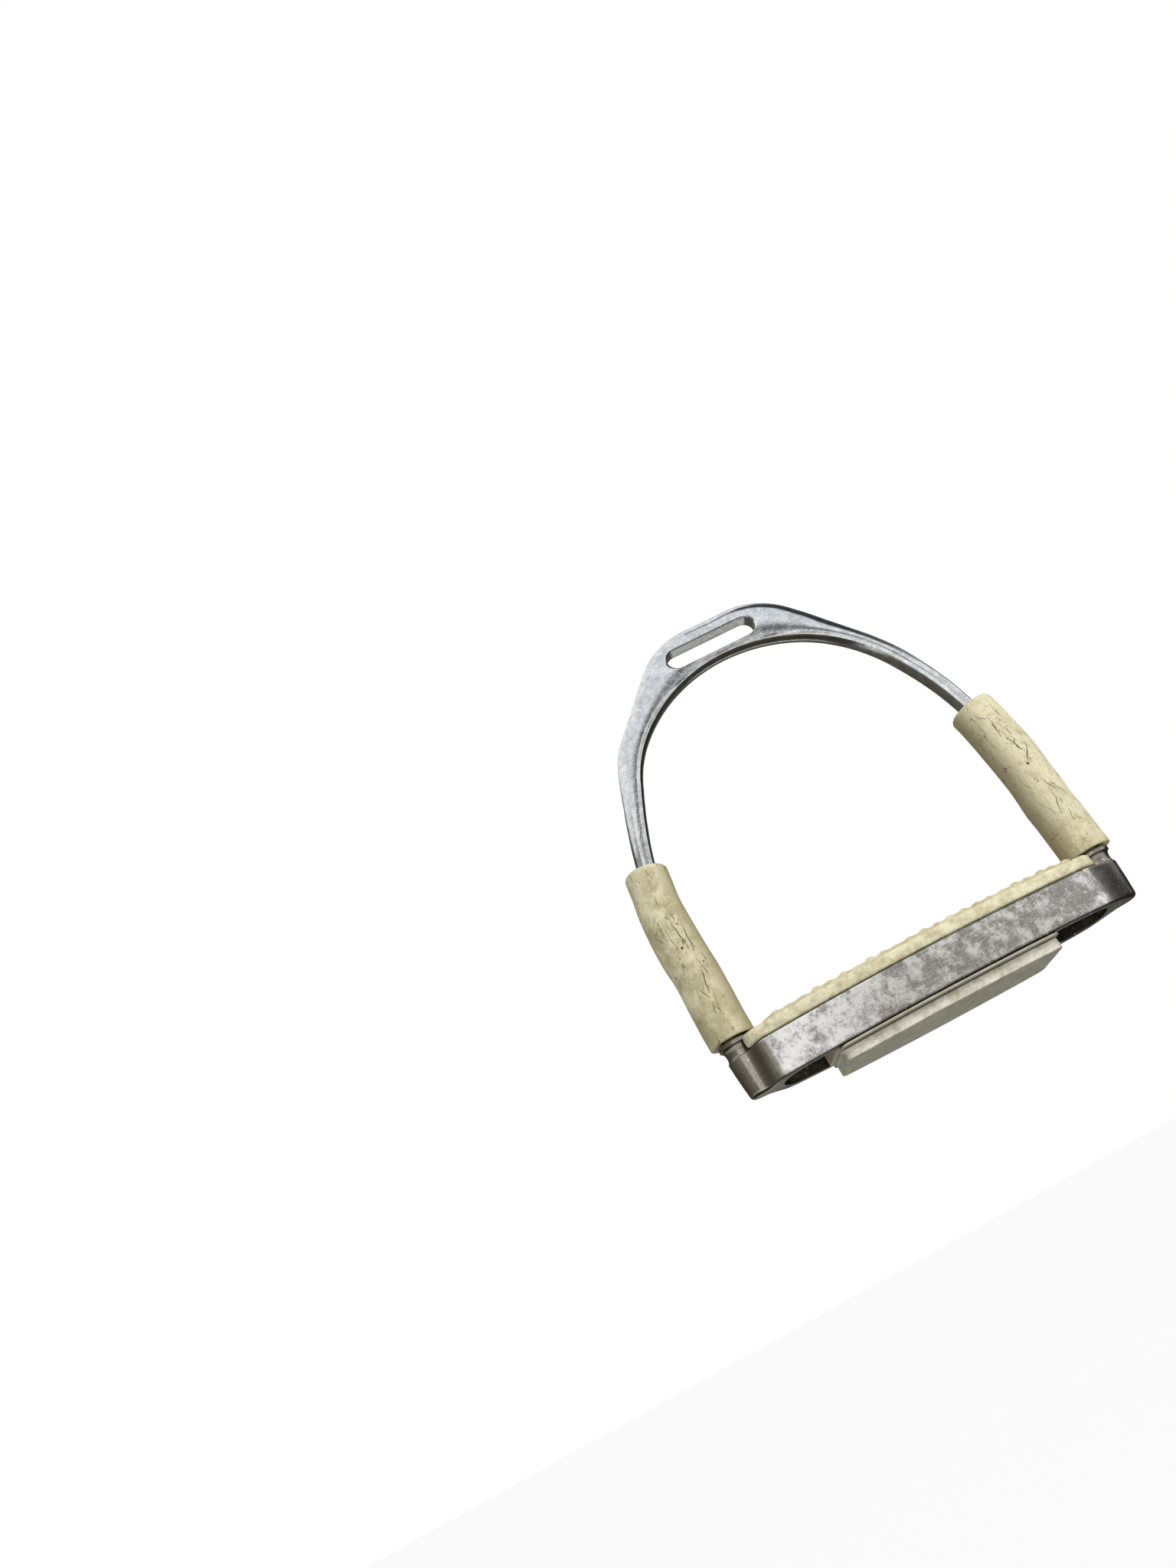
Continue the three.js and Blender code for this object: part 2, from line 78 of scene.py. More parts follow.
def rivet_height(joint):
    return joints[joint]["pos_m"][2] / MM - TREAD_BOTTOM


def level(z):
    return (z + TREAD_BOTTOM) * MM


def at(x, y, z):
    return Vector((x, y, z + TREAD_BOTTOM)) * MM


BRANCH_X = joints["right_upper_hinge"]["pos_m"][0] / MM
UPPER_RIVET = rivet_height("left_upper_hinge")
LOWER_RIVET = rivet_height("left_lower_hinge")
print(f"branches at {BRANCH_X:.2f}, rivets at {LOWER_RIVET:.1f} and {UPPER_RIVET:.1f} mm")

# %% [markdown]
# The camera looks up at the tread from a little below it and from the left, and it is rolled,
# so that the iron lies tilted in the picture. Its place and angles were found by fitting the
# outlines of the tread, the sleeves and the arch.

# %% Camera
CAMERA_PLACE = (-108.5, -384.1, -55.6)
CAMERA_TURN = -0.1015
CAMERA_TILT = 0.4409
CAMERA_ROLL = 0.5049
FOCAL_LENGTH = 26.72


def add_object(name, data):
    thing = bpy.data.objects.new(name, data)
    bpy.context.scene.collection.objects.link(thing)
    return thing


def make_camera():
    camera = bpy.data.cameras.new("camera")
    camera.lens = FOCAL_LENGTH
    camera.clip_start = 0.01
    thing = add_object("camera", camera)
    aim = Matrix.Rotation(CAMERA_TURN, 3, "Z") @ Matrix.Rotation(CAMERA_TILT, 3, "X")
    right, forward, up = (aim.col[i].copy() for i in range(3))
    across = math.cos(CAMERA_ROLL) * right - math.sin(CAMERA_ROLL) * up
    upward = math.sin(CAMERA_ROLL) * right + math.cos(CAMERA_ROLL) * up
    turn = Matrix((across, upward, -forward)).transposed()
    thing.matrix_world = Matrix.Translation(at(*CAMERA_PLACE)) @ turn.to_4x4()
    bpy.context.scene.camera = thing
    bpy.context.scene.view_settings.view_transform = "Standard"


make_camera()
print("camera at", CAMERA_PLACE, "lens", FOCAL_LENGTH)

# %% [markdown]
# Every mesh here is a skin over rings of points, as a loft is. One function lays the faces
# between the rings and one makes the object.

# %% Lofted skins


def skin(rings, wrap=False):
    """Points and faces of a closed solid lofted over rings of equally many points."""
    rings = np.asarray(rings, float)
    count, around = rings.shape[:2]
    spans = count if wrap else count - 1
    first = (np.arange(spans) * around)[:, None]
    following = (np.arange(1, spans + 1) % count * around)[:, None]
    i = np.arange(around)[None, :]
    j = (i + 1) % around
    faces = np.stack([first + i, first + j, following + j, following + i], -1)
    faces = faces.reshape(-1, 4).tolist()
    if not wrap:
        faces.append(list(range(around))[::-1])
        faces.append(list(range((count - 1) * around, count * around)))
    points = rings.reshape(-1, 3)
    sides = np.array(faces[:spans * around])
    a, b, c, d = (points[sides[:, k]] for k in range(4))
    volume = (np.cross(a, b) * c + np.cross(a, c) * d).sum()
    if volume < 0:
        faces = [face[::-1] for face in faces]
    return points, faces


def piece(name, *skins):
    """An object made of one or more skins, given in millimetres."""
    points, faces = [], []
    for some_points, some_faces in skins:
        base = sum(len(p) for p in points)
        points.append(some_points)
        faces += [[base + corner for corner in face] for face in some_faces]
    mesh = bpy.data.meshes.new(name)
    placed = (np.concatenate(points) + (0, 0, TREAD_BOTTOM)) * MM
    mesh.from_pydata(placed.tolist(), [], faces)
    return add_object(name, mesh)


wedge = skin([[(0, 0, z), (1, 0, z), (0, 1, z)] for z in (0, 1)])
print("a wedge lofted over two triangles has", len(wedge[1]), "faces")

# %% [markdown]
# Solids are joined and cut with the Boolean modifier's Manifold solver, which is quick and
# always leaves closed solids. The result is kept as a plain mesh, and its shading is smoothed
# in a way that leaves ground flats flat.

# %% Cutting, joining and shading


def keep_result(thing):
    """Applies an object's modifiers."""
    bpy.context.view_layer.update()
    graph = bpy.context.evaluated_depsgraph_get()
    mesh = bpy.data.meshes.new_from_object(thing.evaluated_get(graph))
    thing.modifiers.clear()
    thing.data = mesh


def combine(thing, operation, *tools):
    for tool in tools:
        step = thing.modifiers.new(operation, "BOOLEAN")
        step.operation = operation
        step.solver = "MANIFOLD"
        step.object = tool
    keep_result(thing)
    for tool in tools:
        bpy.data.objects.remove(tool)


def even_shading(thing, sharp_degrees):
    """Smooth shading in which wide flat faces stay flat."""
    thing.data.shade_smooth()
    thing.data.set_sharp_from_angle(angle=math.radians(sharp_degrees))
    weighted = thing.modifiers.new("even shading", "WEIGHTED_NORMAL")
    weighted.keep_sharp = True
    keep_result(thing)


def smoothstep(value, low, high):
    t = np.clip((np.asarray(value, float) - low) / (high - low), 0, 1)
    return t * t * (3 - 2 * t)


def quarter_turn(steps, start=0.0):
    """[cosine, sine] pairs from a start angle to a right angle."""
    return [(math.cos(t), math.sin(t)) for t in np.linspace(start, math.pi / 2, steps)]


print("a quarter of the way up a smooth step:", smoothstep(0.25, 0, 1))

# %% [markdown]
# ## The arch
# The real arch is one investment casting, ground and polished by hand. Its section is flat
# inside with two bevels and rounded outside, and its width grows from the legs to the crown.
# A loft over many stations follows that better than a bent bar would. The leather slot is cut
# afterwards, with a small flare at both faces where the leather would otherwise wear.

# %% Sizes of the arch
INNER_RADIUS = 60
CROWN_RISE = 19.2
CROWN_HEIGHT = UPPER_RIVET + CROWN_RISE
BAND_WIDTH = 7.2
FOOT_WIDTH = 5.7
BAND_DEPTH = 7.5
LEG_RISE = 19.8
UPRIGHT_HEIGHT = CROWN_HEIGHT - LEG_RISE
BAND_RADIUS = INNER_RADIUS + BAND_WIDTH / 2
LEG_ANGLE = 2 * math.atan((BRANCH_X - BAND_RADIUS) / LEG_RISE)
LEG_RADIUS = BAND_RADIUS + LEG_RISE / math.sin(LEG_ANGLE)
ARCH_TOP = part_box("arch")[1].z / MM - TREAD_BOTTOM
FLANK_ANGLE = math.radians(40)
SHOULDER_RADIUS = 30
print(f"arch top at {ARCH_TOP:.1f} mm, legs bent to a radius of {LEG_RADIUS:.0f} mm")

# %% [markdown]
# Castings like this are ground by hand, so the two flanks differ. The right one is ground
# thinner and the left one is left fuller. The change in width is given at a few angles round
# the arch, from the right leg at 0 to the left at 180, and so is how far each leg is set
# inwards by its straightening.

# %% Hand grinding
GROUND_ANGLES = [0, 20, 35, 50, 60, 75, 90, 108, 130, 140, 145, 151, 158, 166, 180]
GROUND_WIDTHS = [-0.9, -1.3, -1.4, -0.9, -0.5, -0.5, -0.8, -0.2, 1.4, 2, 1.6, 0.8, 0.1, -0.1, 0]
SET_ANGLES = [0, 8, 22, 35, 50, 60, 138, 145, 151, 158, 163, 168, 172, 180]
SET_INWARD = [0.1, 0.7, 1.0, 0.8, 0.3, 0, 0, 0.2, 0.6, 1.1, 1.1, 0.7, 0.3, 0]
print(f"ground by {min(GROUND_WIDTHS)} to {max(GROUND_WIDTHS)} mm, set by {max(SET_INWARD)} mm")

# %% Outline of the arch


def outer_radius(angle):
    """From the centre of the round to the outer contour: band, straight flank, shoulder, top."""
    a = min(angle, math.pi - angle)
    band = INNER_RADIUS + BAND_WIDTH
    top = ARCH_TOP - CROWN_HEIGHT
    sine, cosine = math.sin(FLANK_ANGLE), math.cos(FLANK_ANGLE)
    shoulder_z = top - SHOULDER_RADIUS
    shoulder_x = (band - SHOULDER_RADIUS - shoulder_z * sine) / cosine
    end_z = shoulder_z + SHOULDER_RADIUS * sine
    end_x = shoulder_x + SHOULDER_RADIUS * cosine
    if a <= FLANK_ANGLE:
        return band
    if a <= math.atan2(end_z, end_x):
        return band / math.cos(a - FLANK_ANGLE)
    if a >= math.atan2(top, shoulder_x):
        return top / math.sin(a)
    along = shoulder_x * math.cos(a) + shoulder_z * math.sin(a)
    return along + math.sqrt(along**2 - shoulder_x**2 - shoulder_z**2 + SHOULDER_RADIUS**2)


print(f"crown {outer_radius(math.pi / 2) - INNER_RADIUS:.1f} mm high over the round")

# %% Section of the arch
BAND_BEVEL = 1.1
BEVEL_DEPTH = 0.55
EDGE_ROUND = 0.22
INNER_SWELL = 0.85
PILLOW = 0.042
CREST = 0.6
NOSE_LENGTH = 4.5
NOSE_SHARE = 0.55


def rounded(corners, radius, steps=3):
    """A line of [u, v] corners with each inner corner rounded."""
    line = [corners[0]]
    for before, corner, after in zip(corners, corners[1:], corners[2:]):
        corner = Vector(corner)
        back = (Vector(before) - corner).normalized() * radius
        ahead = (Vector(after) - corner).normalized() * radius
        for i in range(steps + 1):
            t = i / steps
            line.append(corner + back * (1 - t) ** 2 + ahead * t**2)
    return [tuple(p) for p in line] + [corners[-1]]


def arch_section(width):
    """[outward, sideways] points, from the middle of the inner face round to the outside."""
    half = BAND_DEPTH / 2
    nose = min(NOSE_LENGTH, NOSE_SHARE * width)
    start = width - nose
    edge = half - BEVEL_DEPTH
    inner = [(-INNER_SWELL * (1 - t**2), edge * t) for t in (0, 0.25, 0.5, 0.75)]
    sag = PILLOW * (start - BAND_BEVEL)
    crest = BAND_BEVEL + CREST * (start - BAND_BEVEL)
    span = max(crest - BAND_BEVEL, start - crest)
    face = [(u, half - sag * ((u - crest) / span) ** 2) for u in np.linspace(BAND_BEVEL, start, 9)]
    bevel = rounded([inner[-1], (0, edge), face[0], face[1]], EDGE_ROUND)
    turns = quarter_turn(10, math.radians(9))
    end = [(start + nose * sine, face[-1][1] * cosine) for cosine, sine in turns]
    upper = inner + bevel[1:-1] + face[1:] + end
    return upper + [(u, -v) for u, v in reversed(upper[1:-1])]


print(len(arch_section(BAND_WIDTH)), "points round a section")

# %% Loft of the arch
LEG_STATIONS = 35
ROUND_STATIONS = 90


def arch_stations():
    """[point, outward direction, width] from the foot of the right leg to that of the left."""
    foot = math.asin((UPPER_RIVET + 4.1 - UPRIGHT_HEIGHT) / LEG_RADIUS)
    stations = []
    for t in np.linspace(0, 1, LEG_STATIONS + 1)[:-1]:
        a = foot + t * (LEG_ANGLE - foot)
        width = FOOT_WIDTH + t * (BAND_WIDTH - FOOT_WIDTH)
        stations.append((BRANCH_X - LEG_RADIUS, UPRIGHT_HEIGHT, LEG_RADIUS - width / 2, a, width))
    for a in np.linspace(LEG_ANGLE, math.pi / 2, ROUND_STATIONS):
        stations.append((0, CROWN_HEIGHT, INNER_RADIUS, a, outer_radius(a) - INNER_RADIUS))
    right = [
        (np.array([x + inner * math.cos(a), 0, z + inner * math.sin(a)]),
         np.array([math.cos(a), 0, math.sin(a)]), width)
        for x, z, inner, a, width in stations]
    mirror = np.array([-1, 1, 1])
    return right + [(p * mirror, d * mirror, w) for p, d, w in reversed(right[:-1])]


def arch_loft():
    rings = []
    for point, direction, width in arch_stations():
        angle = math.degrees(math.atan2(direction[2], direction[0]))
        clear = float(smoothstep(point[2], UPPER_RIVET + 4, UPPER_RIVET + 18))
        width = width + clear * float(np.interp(angle, GROUND_ANGLES, GROUND_WIDTHS))
        inward_set = clear * float(np.interp(angle, SET_ANGLES, SET_INWARD))
        rings.append([point + (u - inward_set) * direction - np.array([0, v, 0])
                      for u, v in arch_section(width)])
    return piece("arch_body", skin(rings))


print(len(arch_stations()), "stations along the arch")

# %% [markdown]
# Inside the sleeves the arch and the tread end in flat tongues, each with an eye for a rivet.
# They can't be seen, but a piece that stands for a part of the frame has them too. The slot
# was cut a little off the middle, and its cutter flares where it leaves each face.

# %% Tongues and rivet holes
TONGUE_THICKNESS = 3
EYE_RADIUS = 3.7
EYE_ROOT = EYE_RADIUS + 0.5
RIVET_BORE = 1.55


def stadium(x_low, x_high, z_low, z_high, radius, steps=16):
    """A slot outline in the plane of the arch, between two end centres."""
    turns = np.linspace(-math.pi / 2, math.pi / 2, steps)
    arc = [(radius * math.cos(t), radius * math.sin(t)) for t in turns]
    if x_high == x_low:
        arc = [(-v, u) for u, v in arc]
    return [(x_high + u, z_high + v) for u, v in arc] + [(x_low - u, z_low - v) for u, v in arc]


def plate(name, outlines, depths):
    """A solid whose outlines lie at these depths, from front to back."""
    rings = [[(x, depth, z) for x, z in outline] for outline, depth in zip(outlines, depths)]
    return piece(name, skin(rings[::-1]))


def branch_plates(name, low, high, radius, half):
    """The same round-ended plate on both branches."""
    outlines = [stadium(x, x, low, high, radius) for x in (-BRANCH_X, BRANCH_X)]
    return [plate(name, [outline] * 2, [-half, half]) for outline in outlines]


def tongues(low, high):
    return branch_plates("tongue", low, high, EYE_RADIUS, TONGUE_THICKNESS / 2)


def rivet_bores(z):
    return branch_plates("rivet_bore", z, z, RIVET_BORE, BAND_DEPTH)


print(f"tongues {TONGUE_THICKNESS} mm thick, rivet holes {2 * RIVET_BORE:.1f} mm wide")

# %% Leather slot
SLOT_HEIGHT = 8.3
SLOT_LENGTH = 36.7
SLOT_BOTTOM = CROWN_HEIGHT + INNER_RADIUS + 2.4
SLOT_SHIFT = -2.5
SLOT_FLARE = [  # wider by, at this depth
    (0, 1.3), (0.1, 0.8), (0.28, 0.5), (0.55, 0.25), (0.9, 0.08), (1.3, 0), (1.6, -0.3)]


def slot_cutter():
    half = BAND_DEPTH / 2
    radius = SLOT_HEIGHT / 2
    reach = SLOT_LENGTH / 2 - radius
    z = SLOT_BOTTOM + radius
    front = [(-half + depth, wider) for wider, depth in SLOT_FLARE]
    levels = sorted(front + [(-depth, wider) for depth, wider in front])
    outlines = [stadium(SLOT_SHIFT - reach, SLOT_SHIFT + reach, z, z, radius + wider, 24)
                for _, wider in levels]
    return plate("slot_cutter", outlines, [depth for depth, _ in levels])


print(f"slot {SLOT_LENGTH} x {SLOT_HEIGHT} mm, its bottom at {SLOT_BOTTOM:.1f} mm")

# %% Build the arch
arch = arch_loft()
combine(arch, "UNION", *tongues(UPPER_RIVET, UPPER_RIVET + EYE_ROOT))
combine(arch, "DIFFERENCE", slot_cutter(), *rivet_bores(UPPER_RIVET))
even_shading(arch, 20)
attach(arch, "arch")
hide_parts("arch")
print("arch:", len(arch.data.polygons), "faces")

# %% [markdown]
# ## The tread frame
# The tread is a second casting: two bowed walls that turn in with an S curve to a round post
# at each end. The loft runs once round the section, from the outer face over the top to the
# inner face and back under the bottom, so the ring closes on itself and needs no caps. At the
# front the right end turns in more gently than the left one.

# %% Sizes of the tread
TREAD_HEIGHT = 13.7
TREAD_HALF_DEPTH = 19.7
TREAD_BOW = 6.7
TREAD_WALL = 3.6
TURN_X = BRANCH_X - 7.7
WALL_RADIUS = (TURN_X**2 + TREAD_BOW**2) / (2 * TREAD_BOW)
POST_RADIUS = 5.6


def half_depth(x, inset=0.0):
    """Half depth of a line that lies inset behind the outer face of the walls."""
    radius = WALL_RADIUS - inset
    return TREAD_HALF_DEPTH - WALL_RADIUS + np.sqrt(radius**2 - np.asarray(x, float) ** 2)


print(f"walls bowed to a radius of {WALL_RADIUS:.0f} mm")

# %% Quarters of the tread's plan
POCKET_END = BRANCH_X - 7.6
POCKET_CURVE = 10


def bezier(a, b, c, d, steps=40):
    t = np.linspace(0, 1, steps)[:, None]
    a, b, c, d = (np.array(p, float) for p in (a, b, c, d))
    return a * (1 - t) ** 3 + 3 * b * t * (1 - t) ** 2 + 3 * c * t**2 * (1 - t) + d * t**3


def wall_line(start_x, inset=0.0, steps=80):
    """Along a wall to its middle."""
    x = np.linspace(start_x, 0, steps)
    return np.stack([x, half_depth(x, inset)], 1)


def outer_quarter(turn_x, post_turn=90, reach=3.4):
    """From the tip of the right post to the middle of the wall, in plan."""
    turns = np.linspace(0, math.radians(post_turn), 30)
    post = np.stack([BRANCH_X + POST_RADIUS * np.cos(turns), POST_RADIUS * np.sin(turns)], 1)
    leave = post[-1] + reach * np.array([-math.sin(turns[-1]), math.cos(turns[-1])])
    wall_y = float(half_depth(turn_x))
    slope = turn_x / WALL_RADIUS
    curve = bezier(post[-1], leave, (turn_x + 4, wall_y - 4 * slope), (turn_x, wall_y))
    return np.concatenate([post, curve[1:], wall_line(turn_x)[1:]])


def inner_quarter():
    """The same round the inside of the ring."""
    start_x = POCKET_END - POCKET_CURVE
    start_y = float(half_depth(start_x, TREAD_WALL))
    slope = start_x / (WALL_RADIUS - TREAD_WALL)
    curve = bezier((POCKET_END, 0), (POCKET_END, 0.6 * start_y),
                   (start_x + 6, start_y - 6 * slope), (start_x, start_y))
    return np.concatenate([curve, wall_line(start_x, TREAD_WALL)[1:]])


print(f"ring {2 * TREAD_HALF_DEPTH} mm deep, its pocket {2 * POCKET_END:.1f} mm long")

# %% Closed plans of the tread
BACK_TURN = 2.4
GENTLE_TURN = 4.2
GENTLE_POST_TURN = 62
GENTLE_REACH = 7
QUARTER_POINTS = 140


def spread(line, count):
    """The same line with count points, evenly spaced along it."""
    steps = np.linalg.norm(np.diff(line, axis=0), axis=1)
    place = np.concatenate([[0], np.cumsum(steps)])
    wanted = np.linspace(0, place[-1], count)
    return np.stack([np.interp(wanted, place, line[:, i]) for i in (0, 1)], 1)


def full_round(back, left_front, right_front, count):
    """Closes quarters to a loop: the back one is used for both ends."""
    back, left, right = (spread(quarter, count) for quarter in (back, left_front, right_front))
    return np.concatenate([
        back[:-1], back[::-1][:-1] * (-1, 1), left[:-1] * -1, right[::-1][:-1] * (1, -1)])


right_front = outer_quarter(TURN_X - GENTLE_TURN, GENTLE_POST_TURN, GENTLE_REACH)
tread_outline = full_round(
    outer_quarter(TURN_X - BACK_TURN), outer_quarter(TURN_X), right_front, QUARTER_POINTS)
tread_pocket = full_round(*[inner_quarter()] * 3, QUARTER_POINTS)
print(f"tread {np.ptp(tread_outline[:, 0]):.1f} mm long outside, {len(tread_outline)} points round")

# %% Section of the tread's wall
LOW_ROUND = 0.55
HIGH_ROUND = 0.7
POCKET_ROUND = 0.35


def inward(loop):
    """Unit vectors across a loop that runs anticlockwise, towards its inside."""
    along = np.roll(loop, -1, axis=0) - np.roll(loop, 1, axis=0)
    along /= np.linalg.norm(along, axis=1)[:, None]
    return np.stack([-along[:, 1], along[:, 0]], 1)


def round_edge(radius, steps=5):
    """[inset, drop] pairs over a quarter round, from the side face to the level face."""
    return [(radius * (1 - cosine), radius * (1 - sine)) for cosine, sine in quarter_turn(steps)]


def tread_rows():
    """[loop, across, inset, height] once round the section of the wall."""
    face = (tread_outline, inward(tread_outline))
    pocket = (tread_pocket, -inward(tread_pocket))
    rows = [(*face, inset, drop) for inset, drop in reversed(round_edge(LOW_ROUND))]
    rows.append((*face, 0, TREAD_HEIGHT / 2))
    rows += [(*face, inset, TREAD_HEIGHT - drop) for inset, drop in round_edge(HIGH_ROUND)]
    rows += [(*pocket, inset, TREAD_HEIGHT - drop)
             for inset, drop in reversed(round_edge(POCKET_ROUND))]
    return rows + [(*pocket, inset, drop) for inset, drop in round_edge(POCKET_ROUND)]


print(len(tread_rows()), "rings round the section of the wall")

# %% Loft of the tread
POST_DRAFT = 1.2
DRAFT_HEIGHT = 12
BLUNT_POST = 1.6
BLUNT_HEIGHT = 0.6
BACK_NARROWING = 0.3


def tread_ring():
    """The posts are drafted, blunt at the bottom, and narrow low down at the back."""
    rings = []
    for loop, across, inset, height in tread_rows():
        post = smoothstep(np.abs(loop[:, 0]), BRANCH_X - 4, BRANCH_X + 1)
        blunt = 1 + BLUNT_POST * post * (height < BLUNT_HEIGHT)
        plan = loop + across * (inset * blunt)[:, None]
        out = np.abs(plan[:, 0])
        low = max(0, 1 - height / DRAFT_HEIGHT)
        end = smoothstep(out, BRANCH_X - 3, BRANCH_X + POST_RADIUS)
        x = plan[:, 0] - np.sign(plan[:, 0]) * POST_DRAFT * low * end
        hidden = smoothstep(out, TURN_X - 6, BRANCH_X) * smoothstep(plan[:, 1], -3, 4)
        y = plan[:, 1] * (1 - BACK_NARROWING * low**2 * hidden)
        rings.append(np.stack([x, y, height * blunt], 1))
    return piece("tread_ring", skin(rings, wrap=True))


print(f"posts drafted by {POST_DRAFT} mm over {DRAFT_HEIGHT} mm")

# %% [markdown]
# A neck, a flared collar and a stub stand on each post. They were turned or ground round after
# casting, so they are revolved here, with a hollow fillet where the neck meets the post.

# %% Necks, collars and stubs
NECK_RADIUS = 5.5
NECK_WAIST = 0.5
FILLET_HEIGHT = 1.7
FLARE_WIDTH = 1.3
FLARE_HEIGHT = 2.6
COLLAR_TOP = TREAD_HEIGHT + 5.5
COLLAR_RADIUS = 6.3
STUB_RADIUS = 3.95


def turned(profile, centre_x, steps=72):
    """Rings of a profile of [radius, height] pairs turned about a branch."""
    turns = np.arange(steps) * 2 * math.pi / steps
    return [[(centre_x + r * math.cos(t), r * math.sin(t), z) for t in turns] for r, z in profile]


def neck(side):
    low, waist = TREAD_HEIGHT - 0.3, NECK_RADIUS - NECK_WAIST
    fillet = [(NECK_RADIUS - NECK_WAIST * sine, low + FILLET_HEIGHT * (1 - cosine))
              for cosine, sine in quarter_turn(7)]
    flare = [(waist + FLARE_WIDTH * (1 - cosine), low + FILLET_HEIGHT + FLARE_HEIGHT * sine)
             for cosine, sine in quarter_turn(8, 0.1)]
    rim = [(COLLAR_RADIUS, COLLAR_TOP - 0.4), (COLLAR_RADIUS - 0.12, COLLAR_TOP - 0.12),
           (COLLAR_RADIUS - 0.4, COLLAR_TOP)]
    stub = [(STUB_RADIUS, COLLAR_TOP), (STUB_RADIUS, LOWER_RIVET - EYE_RADIUS - 0.4)]
    profile = [(NECK_RADIUS, TREAD_HEIGHT - 1.5)] + fillet + flare + rim + stub
    return piece("neck", skin(turned(profile, side * BRANCH_X)))


print(f"collars {2 * COLLAR_RADIUS} mm across, their tops at {COLLAR_TOP:.1f} mm")

# %% Build the tread frame
tread = tread_ring()
combine(tread, "UNION", neck(-1), neck(1), *tongues(LOWER_RIVET - EYE_ROOT, LOWER_RIVET))
combine(tread, "DIFFERENCE", *rivet_bores(LOWER_RIVET))
tread.name = "tread_frame_cast"
even_shading(tread, 32)
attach(tread, "tread")
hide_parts("tread_frame")
print("tread:", len(tread.data.polygons), "faces")

# %% [markdown]
# ## The rubber pad
# The pad is one moulding. A flange lies on the walls and bites round the collars, a plug goes
# down between the walls, a thin strip hooks under them, and a flat block stands below. The top
# is worn, so flange, field and ribs are fused by a voxel remesh, which rounds every edge as
# wear does. The strip and the block keep crisp edges and are lofted directly.

# %% Plan shapes of the pad
PAD_SHIFT = -2.1


def bowed_plan(half_length, inset, corner, quarter_points=70):
    """A loop whose sides follow the walls at an inset, with straight ends."""
    side_x = half_length - corner
    side_y = float(half_depth(side_x, inset))
    slope = side_x / (WALL_RADIUS - inset)
    end = np.stack([np.full(10, half_length), np.linspace(0, side_y - corner, 10)], 1)
    corner_start = np.array([half_length, side_y - corner])
    corner_mid = np.array([half_length, side_y - corner * slope])
    corner_end = np.array([side_x, side_y])
    t = np.linspace(0, 1, 12)[1:, None]
    bend = corner_start * (1 - t) ** 2 + 2 * corner_mid * t * (1 - t) + corner_end * t**2
    quarter = np.concatenate([end, bend, wall_line(side_x, inset, 60)[1:]])
    return full_round(quarter, quarter, quarter, quarter_points)


def stack(levels, shift):
    """A skin over [half length, inset, corner, height] levels, from the lowest up."""
    rings = []
    for half_length, inset, corner, height in levels:
        plan = bowed_plan(half_length, inset, corner) + (shift, 0)
        rings.append(np.column_stack([plan, np.full(len(plan), height)]))
    return skin(rings)


def rounded_slab(half_length, inset, corner, low, high, low_round, high_round):
    heights = [(i, low + d) for i, d in reversed(round_edge(low_round))]
    heights += [(i, high - d) for i, d in round_edge(high_round)]
    return [(half_length - i, inset + i, corner, z) for i, z in heights]


print("pad set", -PAD_SHIFT, "mm to the left")

# %% Top of the pad: flange, field and ribs
rng = np.random.default_rng(7)
FLANGE_LOW = TREAD_HEIGHT + 0.3
FLANGE_HIGH = FLANGE_LOW + 4.3
FLANGE_END = BRANCH_X - 2.8
FIELD_HALF = 57.5
FIELD_HIGH = FLANGE_HIGH + 1.2
RIB_HIGH = FLANGE_HIGH + 1.75
RIB_PITCH = 4.92
RIB_REACH = 3.6
RIB_COUNT = 23


def rib(x, height):
    """A worn rib across the pad."""
    reach = float(half_depth(min(abs(x) + 2, TURN_X), RIB_REACH))
    half = [(2.05, FIELD_HIGH - 0.6), (1.7, FIELD_HIGH), (1.1, height - 0.25), (0.55, height)]
    section = half + [(-u, z) for u, z in half[::-1]]
    return skin([[(x + u, y, z) for u, z in section] for y in np.linspace(-reach, reach, 9)])


def pad_top():
    flange = rounded_slab(FLANGE_END, 0.4, 7, FLANGE_LOW, FLANGE_HIGH, 0.8, 1.1)
    field = rounded_slab(FIELD_HALF, 3.1, 6, FLANGE_HIGH - 1, FIELD_HIGH, 0.1, 0.4)
    skins = [stack(flange, PAD_SHIFT / 2), stack(field, PAD_SHIFT / 3)]
    for i in range(RIB_COUNT):
        place = (i - (RIB_COUNT - 1) / 2) * RIB_PITCH + 0.9
        skins.append(rib(place + rng.normal() * 0.22, RIB_HIGH + rng.normal() * 0.18))
    return piece("pad_top", *skins)


pad = pad_top()
print(RIB_COUNT, "ribs", RIB_PITCH, "mm apart")

# %% Lower part of the pad: plug, strip and block
BLOCK_HALF = 38.9
BLOCK_INSET = 3.0
LOW_CORNER = 2.6
BLOCK_LOW = -5.0
BLOCK_HIGH = -1.35
STRIP_LOW = -1.1
STRIP_HIGH = -0.3
STRIP_INSET = 0.55
PLUG_INSET = 4.1
PLUG_FLARE = 2.8
PLUG_RISE = 3.8


def pad_lower():
    block = rounded_slab(
        BLOCK_HALF, BLOCK_INSET, LOW_CORNER, BLOCK_LOW, BLOCK_HIGH, 0.4, 0.25)
    strip = rounded_slab(
        BLOCK_HALF + 0.5, STRIP_INSET, LOW_CORNER, STRIP_LOW, STRIP_HIGH, 0.3, 0.2)
    plug = [(BLOCK_HALF - 0.6 + PLUG_FLARE * (1 - cosine), PLUG_INSET, 3,
             BLOCK_LOW + 0.9 + PLUG_RISE * sine) for cosine, sine in quarter_turn(9)]
    plug.append((BLOCK_HALF + 2.6, PLUG_INSET, 4, FLANGE_LOW + 1))
    return piece("tread_pad_block", *[stack(levels, PAD_SHIFT) for levels in (block, strip, plug)])


